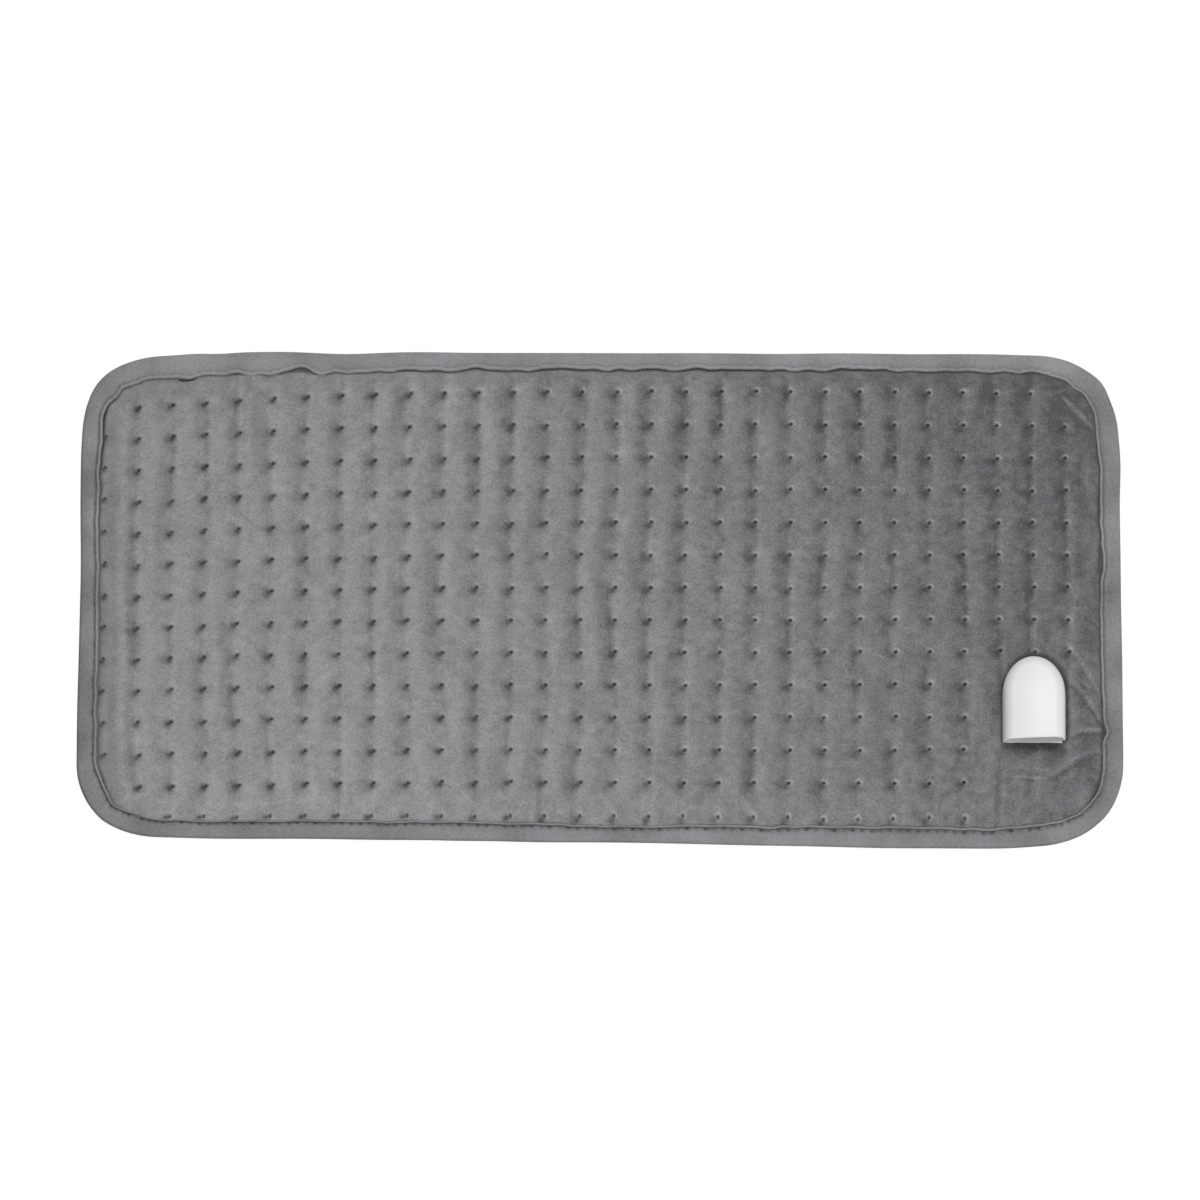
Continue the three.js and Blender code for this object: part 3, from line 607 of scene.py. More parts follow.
def round_corners(xy, half, radius):
    """Grid over a rectangle, drawn in so that its corners are round."""
    past = (np.abs(xy) - (half - radius)) / radius
    p, q = np.maximum(past[..., 0], 0), np.maximum(past[..., 1], 0)
    both = (p > 0) & (q > 0)
    x = np.where(both, half[0] - radius + radius * p * np.sqrt(1 - q**2 / 2), np.abs(xy[..., 0]))
    y = np.where(both, half[1] - radius + radius * q * np.sqrt(1 - p**2 / 2), np.abs(xy[..., 1]))
    return np.stack([np.copysign(x, xy[..., 0]), np.copysign(y, xy[..., 1])], -1)


def crease(xy, x0, y0, x1, y1, height, wide):
    """A soft crease along a line: its height, and the painted light on its ridge and the painted shade on its
    lower left side.
    """
    start, run = np.array([x0, y0]), np.array([x1 - x0, y1 - y0])
    share = np.clip((xy - start) @ run / (run @ run), 0, 1)
    apart = xy - start - share[..., None] * run
    side = np.array([-run[1], run[0]]) / np.hypot(*run)
    off = apart @ (side if side @ np.array([1, 1]) > 0 else -side) / wide
    fade = np.sin(np.pi * (0.12 + 0.76 * share))
    along = bump(np.linalg.norm(apart, axis=-1), wide) * fade
    light = bump(off, 0.4) - 0.7 * bump(off + 0.9, 0.6)
    return height * along * (0.6 + 1.2 * off), height * light * fade * ((share > 0) & (share < 1))


class Plush:
    """One face of the pad: a sheet between the sewn flange and the crown, sunk at the tufts."""

    def __init__(self, tufts, crown, flange, ridges, field_inset, lines):
        sizes = bpy.context.scene.pad_sizes
        self.tufts, self.crown, self.flange, self.ridges = tufts, crown, flange, ridges
        self.half = PAD_HALF - field_inset
        self.radius = sizes.corner_radius - field_inset
        steps = np.array(lines) * MM
        self.xs, self.ys = (grid_lines(self.half[axis], tufts.centres(axis), steps) for axis in (0, 1))
        grid = np.stack(np.meshgrid(self.xs, self.ys, indexing="ij"), -1)
        self.flat = round_corners(grid, self.half, self.radius)
        # How far in from the edge and from the lip each point is
        self.inset = edge_distance(self.flat, PAD_HALF, sizes.corner_radius)
        self.from_lip = self.inset - lip_inset(self.flat)
        # The plush swells up from the lip, along the near side from under it
        near = np.clip(-self.flat[..., 1] / PAD_HALF[1], 0, 1) ** 6
        climb = ramp(self.from_lip, (0.4 - 1.9 * near) * MM, sizes.rim_rise)
        self.swell = np.sin(climb * np.pi / 2) ** 0.8
        # Tuft columns counted across the sheet, with the slow wander of the ridges between them
        wander = ripples(self.flat, 90 * MM, 11, (1, 1.5)) * 1.4 * MM
        self.column = (self.flat[..., 0] + wander - tufts.first[0]) / sizes.tuft_pitch_x
        # Creases lift the sheet, and carry painted light on their ridges and painted shade below them
        creases = [crease(self.flat / MM, *line) for line in CREASES]
        self.folds, self.painted_fold_light = (ridges * sum(parts) for parts in zip(*creases))
        # From 0 in the left half, where the light rakes the pile, to 1 in the right half
        self.right = np.interp(self.flat[..., 0], [-0.12, 0.12], [0.0, 1.0])

    def soft(self):
        """The sheet before its pits: swollen rim, ridges between the columns and a dimple round each tuft."""
        sizes = bpy.context.scene.pad_sizes
        xy = self.flat
        apart, depth, _ = self.tufts.nearest(xy)
        dimple = depth * bump(span(apart + np.array([1.2, 1.1]) * MM), sizes.dimple_radius)
        strength = np.clip(0.75 + 0.35 * ripples(xy, 70 * MM, 12, (0.5, 1.4)), 0.15, 1.5)
        ridge = -0.5 * np.cos(2 * np.pi * self.column) * strength * self.ridges
        broad = 0.3 * MM * ripples(xy, 120 * MM, 13) + 0.14 * MM * ripples(xy, 34 * MM, 14, (0.8, 1.5))
        relief = ridge * sizes.ridge_height + broad * self.ridges - dimple * sizes.dimple_depth
        relief += self.folds * MM
        # The cover is drawn down under the foot of the socket
        clear = ramp(socket_distance(xy), 0, 7 * MM)
        relief = relief * clear - 0.6 * MM * (1 - clear) * self.ridges
        rise = self.crown - self.flange
        z = self.flange + rise * self.swell + math.copysign(1, rise) * self.swell * relief
        return np.concatenate([lay(xy + self.tufts.drift(xy)), z[..., None]], -1)

    def pits(self):
        """Depth of the pinch at each tuft, a small hole, and the painted shade of the plush: dark in the hole and
        in a smear drawn to its lower left, under the lip and against the socket.
        """
        xy, right = self.flat, self.right
        x, y = xy[..., 0] / MM, xy[..., 1] / MM
        apart, depth, turn = self.tufts.nearest(xy)
        radius = bpy.context.scene.pad_sizes.pit_radius * (1 - 0.22 * right)
        hole = np.exp(-((span(apart) / radius) ** 2.4))
        # In the left half of the last row the painted smears are flatter and narrower
        low_row = ramp(-y, 124, 6) * np.interp(xy[..., 0], [-0.08, 0.0], [1, 0])
        slant = (0.85 + 0.3 * np.cos(turn)) * (1 - 0.75 * low_row)
        along = -apart[..., 0] * np.cos(slant) - apart[..., 1] * np.sin(slant)
        across = apart[..., 0] * np.sin(slant) - apart[..., 1] * np.cos(slant)
        drawn = bump(along - (2.1 + 0.7 * right) * MM, 2.05 * MM) * bump(across, (1.95 - 0.75 * low_row) * MM)
        dark = np.maximum(hole, drawn * (0.84 - 0.36 * right + 0.12 * np.sin(turn))) * (depth > 0)
        # Painted shade also where the plush tucks under the lip, least along the near side
        left_side, right_side = ramp(-x, 270, 20), ramp(x, 270, 20)
        deep = np.clip(0.56 + 0.6 * xy[..., 1] / PAD_HALF[1], 0, 1)
        deep = np.maximum(deep, np.maximum(0.62 * left_side, 0.85 * right_side))
        painted_tuck_shade = (0.75 + 0.3 * left_side) * deep * bump(np.maximum(self.from_lip, 0), 1.0 * MM)
        # and painted shade where it meets the socket
        beside = np.minimum(socket_distance(xy), socket_distance(xy - np.array([0, 2.0 * MM])))
        painted_socket_shade = 0.8 * bump(np.maximum(beside, 0), 1.3 * MM) * self.ridges
        return depth * hole, np.maximum(dark, np.maximum(painted_tuck_shade, painted_socket_shade))

    def nap_and_painted_light(self, points):
        """How light the pile looks: darker towards the right where it was brushed another way, with painted light
        on slopes that rise to the right and painted shade on those that fall, and painted light and shade at the
        tuft columns, tufts, creases and before the socket.
        """
        xy, right = self.flat, self.right
        fall = ramp(xy[..., 0], -0.13, 0.43)
        low = 0.5 - xy[..., 1] / (2 * PAD_HALF[1])
        light = 0.545 + 0.12 * low - fall * (0.52 - 0.05 * low - 0.23 * low * (1 - low))
        # A painted light streak and a painted shade streak beside each tuft column
        beside = (self.column - np.round(self.column)) * bpy.context.scene.pad_sizes.tuft_pitch_x / MM
        drawn = np.clip(0.3 + 0.6 * ripples(xy, 32 * MM, 24, (0.6, 2.5)), 0, 1) * self.ridges
        light = light + drawn * (0.08 * bump(beside - 2.4, 1.3) - 0.1 * bump(beside + 1.8, 1.4))
        # A painted shadow before the socket's mouth
        mouth = (xy - np.array([SOCKET_X, shell_low.y - 5 * MM])) / (np.array([18, 7]) * MM)
        light = light - 0.16 * self.ridges * np.exp(-(mouth[..., 0] ** 4) - mouth[..., 1] ** 2)
        # Painted shade to the lower left of each tuft, and a painted highlight on its upper right
        apart, depth, _ = self.tufts.nearest(xy)
        painted_hollow_shade = bump(span(apart + np.array([2.6, 2.0]) * MM), 3.6 * MM)
        light = light - (0.13 - 0.06 * right) * depth * painted_hollow_shade
        angle = np.arctan2(apart[..., 1], apart[..., 0])
        painted_glint_mask = bump(span(apart) - 1.75 * MM, 0.6 * MM) * np.clip(0.5 + 0.5 * np.cos(angle - 1.0), 0, 1)
        painted_glint_mask = painted_glint_mask * (depth > 0)
        # A band of painted light inside the left lip, lifting the shade of the rim's slope
        light = light + 0.2 * ramp(-xy[..., 0] / MM, 270, 15) * bump(self.from_lip, 9 * MM)
        patches = 0.015 * ripples(xy, 75 * MM, 21) + 0.03 * ripples(xy, 20 * MM, 22, (0.8, 1.6))
        patches = patches + 0.03 * ripples(xy, 7 * MM, 23, waves=48)
        # Painted light on slopes that rise to the right and painted shade on slopes that fall, away from the rim
        slope = np.gradient(points[..., 2], axis=0) / np.gradient(points[..., 0], axis=0)
        gain = np.interp(xy[..., 0], [0.0, 0.2], [0.75, 0.38])
        painted_slope_light = np.clip(gain * slope, -0.2, 0.18) * ramp(self.inset, 20 * MM, 6 * MM)
        painted_glint = (0.18 + 0.3 * right) * painted_glint_mask
        return np.clip(light + patches + painted_slope_light + painted_glint + 0.22 * self.painted_fold_light, 0, 1)


def close_cover(name, plush, points, rings, material, attributes):
    """Closed cover: the sheet, then rings (inset, height) round its flange to a flat inner face."""
    faces, index = grid_faces(len(plush.xs), len(plush.ys))
    faces = faces.tolist()
    loop = np.concatenate([index[:-1, 0], index[-1, :-1], index[:0:-1, -1], index[0, :0:-1]])
    flat = plush.flat.reshape(-1, 2)[loop]
    core = plush.half - plush.radius
    out = flat - np.clip(flat, -core, core)
    out = out / np.linalg.norm(out, axis=1, keepdims=True)
    field_inset = PAD_HALF[0] - plush.half[0]
    body = [points.reshape(-1, 3)]
    previous = loop
    for k, (inset, z) in enumerate(rings):
        ring = lay(flat + out * (field_inset - inset))
        body.append(np.concatenate([ring, np.full((len(loop), 1), z)], -1))
        here = index.size + k * len(loop) + np.arange(len(loop))
        faces += loop_faces(previous, here)
        previous = here
    faces.append(previous)
    body = np.concatenate(body)
    extra = (0, len(body) - index.size)
    padded = {key: np.pad(values.ravel(), extra, mode="edge") for key, values in attributes.items()}
    piece = add_piece(name, body, faces, material, padded)
    face_out(piece)
    return piece


def settle(plush, spare):
    """Lets the sheet settle as cloth with spare width, held at the tufts and the rim. Gives how it moved."""
    held_radius, farthest = 1.2 * MM, 1.6 * MM
    start = plush.soft()
    faces, index = grid_faces(*start.shape[:2])
    sheet = add_piece("settling_sheet", start, faces, None)
    apart, depth, _ = plush.tufts.nearest(plush.flat)
    held = (span(apart) < held_radius) & (depth > 0)
    held[[0, -1]] = held[:, [0, -1]] = True
    sheet.vertex_groups.new(name="held").add(index[held].tolist(), 1.0, "REPLACE")
    sheet.shape_key_add(name="laid", from_mix=False)
    cut = sheet.shape_key_add(name="cut", from_mix=False)
    longer = start * np.array([1 + spare, 1 + spare / 3, 1])
    cut.data.foreach_set("co", longer.ravel())
    cloth = sheet.modifiers.new("cloth", "CLOTH")
    settings = {
        "quality": 5,
        "mass": 0.15,
        "tension_stiffness": 15,
        "compression_stiffness": 15,
        "shear_stiffness": 5,
        "bending_stiffness": 0.4,
        "air_damping": 2,
        "vertex_group_mass": "held",
        "rest_shape_key": cut,
        "use_pressure": True,
        "uniform_pressure_force": 0.6,
    }
    for key, value in settings.items():
        setattr(cloth.settings, key, value)
    cloth.settings.effector_weights.gravity = 0
    cloth.collision_settings.use_collision = False
    cloth.collision_settings.use_self_collision = False
    cloth.point_cache.frame_start, cloth.point_cache.frame_end = 1, SETTLE_FRAMES
    scene = bpy.context.scene
    for step in range(1, SETTLE_FRAMES + 1):
        scene.frame_set(step)
    settled = sheet.evaluated_get(bpy.context.evaluated_depsgraph_get())
    points = np.empty(start.size, np.float32)
    settled.data.vertices.foreach_get("co", points)
    scene.frame_set(1)
    bpy.data.objects.remove(sheet)
    moved = points.reshape(start.shape) - start
    reach = np.linalg.norm(moved, axis=-1, keepdims=True)
    return moved * np.minimum(1, farthest / np.maximum(reach, 1e-9))


class PAD_OT_plush_covers(bpy.types.Operator):
    """Makes the front and back plush covers"""

    bl_idname = "pad.plush_covers"
    bl_label = "Plush covers"

    def front(self, sizes, tufts, material):
        low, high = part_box("front_cover")
        shape = {"crown": high.z, "flange": 3.6 * MM, "ridges": 1.0, "field_inset": 8 * MM}
        plush = Plush(tufts, lines=FINE_LINES, **shape)
        soft = plush.soft()
        points = soft.copy()
        sheet = Plush(tufts, lines=COARSE_LINES, **shape)
        moved = refine(settle(sheet, sizes.spare_cloth), sheet.xs, plush.xs)
        points += refine(moved.transpose(1, 0, 2), sheet.ys, plush.ys).transpose(1, 0, 2)
        depth, dark = plush.pits()
        points[..., 2] -= depth * sizes.pit_depth * plush.swell
        # A pit stops short of the cover's inner face
        inner = low.z + 5.7 * MM
        points[..., 2] = np.maximum(points[..., 2], np.minimum(inner + 0.25 * MM, soft[..., 2]))
        flange = [(7.2, 3.5), (2.3, 3.1), (2.3, 2.4), (11.4, 2.4)]
        rings = [(inset * MM, z * MM) for inset, z in flange] + [(22 * MM, inner)]
        # Painted light and shade of the pile, and painted shade in the pinches, kept on the points for the
        # material
        attributes = {"nap_and_painted_light": plush.nap_and_painted_light(points), "pinch": dark}
        piece = close_cover("plush_front", plush, points, rings, material, attributes)
        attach(piece, "root")
        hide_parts("front_cover")

    def back(self, tufts, material):
        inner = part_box("back_cover")[1].z
        plush = Plush(tufts, 0.0, 1.2 * MM, 0.0, 11 * MM, BACK_LINES)
        points = plush.soft()
        depth, dark = plush.pits()
        points[..., 2] = np.minimum(points[..., 2] + depth * 0.7 * MM, 2.1 * MM)
        flange = [(10.2, 1.15), (2.3, 1.15), (2.3, 1.95), (11.4, 1.95)]
        rings = [(inset * MM, z * MM) for inset, z in flange] + [(22 * MM, inner)]
        # Painted light and shade of the pile, and painted shade in the pinches, kept on the points for the
        # material
        attributes = {"nap_and_painted_light": plush.nap_and_painted_light(points), "pinch": dark}
        piece = close_cover("plush_back", plush, points, rings, material, attributes)
        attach(piece, "root")
        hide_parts("back_cover")

    def execute(self, context):
        material = micro_plush()
        tufts = Tufts()
        self.front(context.scene.pad_sizes, tufts, material)
        self.back(tufts, material)
        return {"FINISHED"}


# Binding and stitching


class Edge:
    """The pad's bound edge: points round it, with the wandering lip of the sewn tape."""

    def __init__(self, count):
        radius = bpy.context.scene.pad_sizes.corner_radius
        core = PAD_HALF - radius
        sides = [2 * core[1], 2 * core[0], 2 * core[1], 2 * core[0]]
        corners = [(1, -1), (1, 1), (-1, 1), (-1, -1)]
        arc = radius * np.pi / 2
        self.perimeter = sum(sides) + 4 * arc
        self.along = np.arange(count) * self.perimeter / count
        starts = np.cumsum([0] + [side + arc for side in sides])
        self.flat = np.empty((count, 2))
        self.out = np.empty((count, 2))
        for k, (side, corner) in enumerate(zip(sides, corners)):
            mine = (self.along >= starts[k]) & (self.along < starts[k + 1] + 1e-9)
            local = self.along[mine] - starts[k]
            straight = np.minimum(local, side)
            bend = (local - straight) / radius
            face = k * np.pi / 2
            ahead = np.array([np.cos(face + np.pi / 2), np.sin(face + np.pi / 2)])
            normal = np.stack([np.cos(face + bend), np.sin(face + bend)], -1)
            self.flat[mine] = core * np.array(corner) + straight[:, None] * ahead + normal * radius
            self.out[mine] = normal
        # How far each point belongs to one of the four sides
        self.right, self.far = np.clip(self.out.T, 0, 1)
        self.left, self.near = np.clip(-self.out.T, 0, 1)
        self.lip = lip_inset(self.flat)
        narrower = 0.1 * self.left + 0.35 * self.near + 0.25 * self.right
        self.groove = self.lip - bpy.context.scene.edge_sizes.lip * (1 - narrower)
        self.sway = 0.12 * MM * ripples_round(self.along, self.perimeter, 90 * MM, 33)

    def overlap(self):
        """One where the tape's end lies over its start, fading to nothing."""
        x, y = self.flat[:, 0] / MM, self.flat[:, 1] / MM
        return (x > 290) * np.exp(-(((y - 8) / 18) ** 4))

    def at(self, inset, z):
        """Points at an inset from the edge, as the pad lies."""
        place = lay(self.flat - self.out * (inset - self.sway)[:, None])
        return np.concatenate([place, np.broadcast_to(z, (len(place),))[:, None]], -1)


class PAD_OT_edge_binding(bpy.types.Operator):
    """Makes the folded tape round the edge"""

    bl_idname = "pad.edge_binding"
    bl_label = "Edge binding"

    def section(self, line, rise):
        """Inset and height of the tape from its lip over the top, round the edge and back underneath."""
        lip, groove, near = line.lip, line.groove, line.near
        double = 0.45 * MM * line.overlap()
        # The stitches draw the tape down in a groove, least along the far side
        flush = 0.6 * line.far
        levels = ((4.45, 0.05), (3.7, 0.35), (4.3, -0.1), (4.75, -0.15))
        valley = [z * MM + (4.95 - z) * MM * flush + by * MM * near for z, by in levels]
        top = [
            (lip - 0.1 * MM, 3.6 * MM),
            (lip + 0.1 * MM, 3.95 * MM),
            (lip - 0.15 * MM, 4.45 * MM),
            (lip - 0.7 * MM, 4.95 * MM + rise),
            (lip - 1.5 * MM, 5.0 * MM + rise),
            (groove + 0.5 * MM, valley[0] + rise),
            (groove, valley[1] + 0.5 * rise),
            (groove - (0.45 + 0.35 * near) * MM, valley[2] + rise + double),
            (groove - (1.1 + 0.5 * near) * MM, valley[3] + rise + double),
            (groove - 2.2 * MM, 5.0 * MM + 0.6 * rise - double),
            (groove - 3.6 * MM, 5.05 * MM + 0.2 * rise),
        ]
        tilts = np.radians(np.linspace(70, -90, 12))
        nose = [((2.6 - 2.6 * math.cos(t)) * MM, (2.5 + 2.5 * math.sin(t)) * MM) for t in tilts]
        under = [
            (groove - 1.2 * MM, 0.02 * MM),
            (groove, 0.45 * MM),
            (groove + 0.5 * MM, 0.05 * MM),
            (lip - 0.3 * MM, 0.05 * MM),
            (lip, 0.4 * MM),
            (lip - 0.1 * MM, 0.85 * MM),
            (1.7 * MM, 0.85 * MM),
            (1.7 * MM, 3.4 * MM),
        ]
        return top + nose + under

    def shades(self, line, beat, count):
        """Painted shade in the folds and painted light on the flat tape, ring by ring of the section."""
        # Rings of the section, counted from the lip
        groove_rings, nose_rings = range(5, 10), range(14, 21)
        # Painted shade of each ring in a fold, its change along the near side, the painted ticks and the painted
        # light along the lip
        folds = {0: 1.0, 1: 0.8, 2: 0.25, 5: 0.2, 6: 1.0, 7: 0.45, 8: 0.1}
        wider = {5: 0.3, 6: -0.5, 7: 0.3, 8: 0.3, 9: 0.08}
        painted_ticks = {5: 0.1, 6: 0.25, 7: 0.6, 8: 0.5, 9: 0.12}
        painted_lip_light = {2: 0.1, 3: 0.16, 4: 0.12}
        # The stitches pull the near side of the tape down hardest, where the groove gets the most painted shade;
        # under the lip the painted shade is most along the far side, where the plush stands off
        uneven = np.clip(0.3 * ripples_round(line.along, line.perimeter, 9 * MM, 34), -0.4, 0.6)
        out_x, out_y = line.out.T
        sewn = np.clip(0.6 - 0.5 * out_y - 0.35 * out_x, 0.06, 1) * (0.8 - 0.2 * beat + uneven)
        # Painted shadow ticks beside the stitches, along the near side
        painted_tick = line.near * np.clip(-1.6 * beat - 0.3, 0, 1) * np.clip(0.8 + uneven, 0, 1)
        painted_tuck_shade = np.clip(0.7 + 0.6 * out_y, 0.1, 1)
        # Painted light by the side of the tape: lighter along the far side and darker along the others; painted
        # shade on the outer rounding along the near and left sides; painted light along the lip, strongest along
        # the right side
        side = 0.1 * line.far - 0.05 * line.near - 0.12 * line.right - 0.08 * line.left
        painted_rounding_shade = -0.12 * line.near - 0.1 * line.left
        lit = 1 - 0.6 * line.near + 0.6 * line.right
        painted_fold_shade, painted_sheen = [], []
        for k in range(count):
            dark = folds.get(k, 0.0) + wider.get(k, 0.0) * line.near
            painted_fold_shade.append(dark * (sewn if k in groove_rings else painted_tuck_shade) + painted_ticks.get(k, 0.0) * painted_tick)
            painted_sheen.append(side + (painted_rounding_shade if k in nose_rings else painted_lip_light.get(k, 0.0) * lit))
        return np.concatenate(painted_fold_shade), np.concatenate(painted_sheen)

    def execute(self, context):
        edge = context.scene.edge_sizes
        line = Edge(2400)
        stitches = np.round(line.perimeter / edge.stitch_pitch)
        beat = np.cos(2 * np.pi * stitches * line.along / line.perimeter)
        rings = [line.at(inset, z) for inset, z in self.section(line, edge.pucker * beat)]
        index = np.arange(len(rings) * len(line.along)).reshape(len(rings), -1)
        faces = []
        for first, second in zip(index, np.roll(index, -1, 0)):
            faces += loop_faces(first, second)
        steps = [np.linalg.norm(b[0] - a[0]) for a, b in zip(rings, rings[1:])]
        across = np.repeat(np.cumsum([0] + steps), len(line.along))
        tape = np.stack([np.tile(line.along, len(rings)), across, np.zeros_like(across)], -1)
        painted_fold_shade, painted_sheen = self.shades(line, beat, len(rings))
        attributes = {"tape": tape, "painted_fold_shade": painted_fold_shade, "painted_sheen": painted_sheen}
        piece = add_piece("binding_tape", np.concatenate(rings), faces, knit_tape(), attributes)
        face_out(piece)
        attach(piece, "root")
        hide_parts("edge_binding")
        return {"FINISHED"}


def stitch_tree(material):
    """Geometry Nodes: one short thread at every pitch along a closed line."""
    tree = bpy.data.node_groups.new("lockstitch", "GeometryNodeTree")
    sockets = {}
    tree.interface.new_socket("Geometry", in_out="INPUT", socket_type="NodeSocketGeometry")
    for name in ("Pitch", "Stitch length", "Thread"):
        sockets[name] = tree.interface.new_socket(name, in_out="INPUT", socket_type="NodeSocketFloat").identifier
    tree.interface.new_socket("Geometry", in_out="OUTPUT", socket_type="NodeSocketGeometry")
    given = add_node(tree, "NodeGroupInput").outputs
    line = add_node(tree, "GeometryNodeMeshToCurve", {"Mesh": given["Geometry"]})
    spaced = {"Curve": line.outputs[0], "Length": given["Pitch"]}
    spots = add_node(tree, "GeometryNodeCurveToPoints", spaced, mode="LENGTH").outputs
    bead = add_node(tree, "GeometryNodeMeshUVSphere", {"Segments": 8, "Rings": 6, "Radius": 0.5})
    sides = {0: given["Thread"], 1: given["Thread"], 2: given["Stitch length"]}
    size = add_node(tree, "ShaderNodeCombineXYZ", sides)
    vary = add_node(tree, "FunctionNodeRandomValue", {2: 0.85, 3: 1.1, "Seed": 5}, data_type="FLOAT")
    scaled = {0: size.outputs[0], "Scale": vary.outputs[1]}
    sized = add_node(tree, "ShaderNodeVectorMath", scaled, operation="SCALE")
    placed = {
        "Points": spots["Points"],
        "Instance": bead.outputs[0],
        "Rotation": spots["Rotation"],
        "Scale": sized.outputs[0],
    }
    threads = add_node(tree, "GeometryNodeInstanceOnPoints", placed)
    real = add_node(tree, "GeometryNodeRealizeInstances", {0: threads.outputs[0]})
    smooth = add_node(tree, "GeometryNodeSetShadeSmooth", {"Geometry": real.outputs[0]})
    dressed = add_node(tree, "GeometryNodeSetMaterial", {"Geometry": smooth.outputs[0], "Material": material})
    add_node(tree, "NodeGroupOutput", {0: dressed.outputs[0]})
    return tree, sockets


class PAD_OT_stitching(bpy.types.Operator):
    """Sews the binding, front and back"""

    bl_idname = "pad.stitching"
    bl_label = "Stitching"

    def execute(self, context):
        edge = context.scene.edge_sizes
        material = felted("polyester_thread", context.scene.pad_colours.thread, 0.6 * MM)
        tree, sockets = stitch_tree(material)
        line = Edge(3000)
        raised = 4.0 * MM + 0.42 * MM * line.far
        for name, z in (("stitches_front", raised), ("stitches_back", 0.32 * MM)):
            points = line.at(line.groove, z)
            count = len(points)
            path = bpy.data.meshes.new("sewing_line")
            path.from_pydata(points.tolist(), [(i, (i + 1) % count) for i in range(count)], [])
            sewn = bpy.data.objects.new("sewing_line", path)
            context.collection.objects.link(sewn)
            modifier = sewn.modifiers.new("lockstitch", "NODES")
            modifier.node_group = tree
            modifier[sockets["Pitch"]] = line.perimeter / round(line.perimeter / edge.stitch_pitch)
            modifier[sockets["Stitch length"]] = edge.stitch_length
            modifier[sockets["Thread"]] = edge.thread
            shown = bpy.data.meshes.new_from_object(sewn.evaluated_get(context.evaluated_depsgraph_get()))
            bpy.data.objects.remove(sewn)
            piece = bpy.data.objects.new(name, shown)
            context.collection.objects.link(piece)
            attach(piece, "root")
        return {"FINISHED"}


# Felt layers


class PAD_OT_felt_layers(bpy.types.Operator):
    """Makes the felts and the scrim between the covers"""

    bl_idname = "pad.felt_layers"
    bl_label = "Felt layers"

    def execute(self, context):
        tint = context.scene.pad_colours.felt
        batting, scrim = felted("needle_felt", tint, 1.2 * MM), felted("spunbond_scrim", tint, 0.7 * MM)
        for node, felt in (("back_batting", batting), ("wire_scrim", scrim), ("front_batting", batting)):
            low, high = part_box(node)
            half = np.array([high.x, high.y])
            radius = context.scene.pad_sizes.corner_radius - (PAD_HALF[0] - half[0])
            # Grid lines about 5 mm apart
            xs, ys = np.linspace(-half[0], half[0], 113), np.linspace(-half[1], half[1], 53)
            flat = round_corners(np.stack(np.meshgrid(xs, ys, indexing="ij"), -1), half, radius)
            wave = 0.08 * MM * ripples(flat, 40 * MM, 41)
            skins = [np.concatenate([flat, (z + wave)[..., None]], -1).reshape(-1, 3) for z in (high.z, low.z)]
            quads, index = grid_faces(len(xs), len(ys))
            if node == "front_batting":
                # A window for the socket, open to the near right corner
                middle = flat.reshape(-1, 2)[quads].mean(1)
                cut = (middle[:, 0] > shell_low.x - 20 * MM) & (middle[:, 1] < shell_high.y + 2 * MM)
                quads = quads[~cut]
            edges = np.concatenate([quads[:, [k, (k + 1) % 4]] for k in range(4)])
            open_edges = set(map(tuple, edges)) - set(map(tuple, edges[:, ::-1]))
            sides = [(b, a, a + index.size, b + index.size) for a, b in open_edges]
            both = quads.tolist() + (quads[:, ::-1] + index.size).tolist()
            piece = add_piece(node + "_sheet", np.concatenate(skins), both + sides, felt)
            face_out(piece)
            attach(piece, "root")
            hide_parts(node)
        return {"FINISHED"}


# Socket


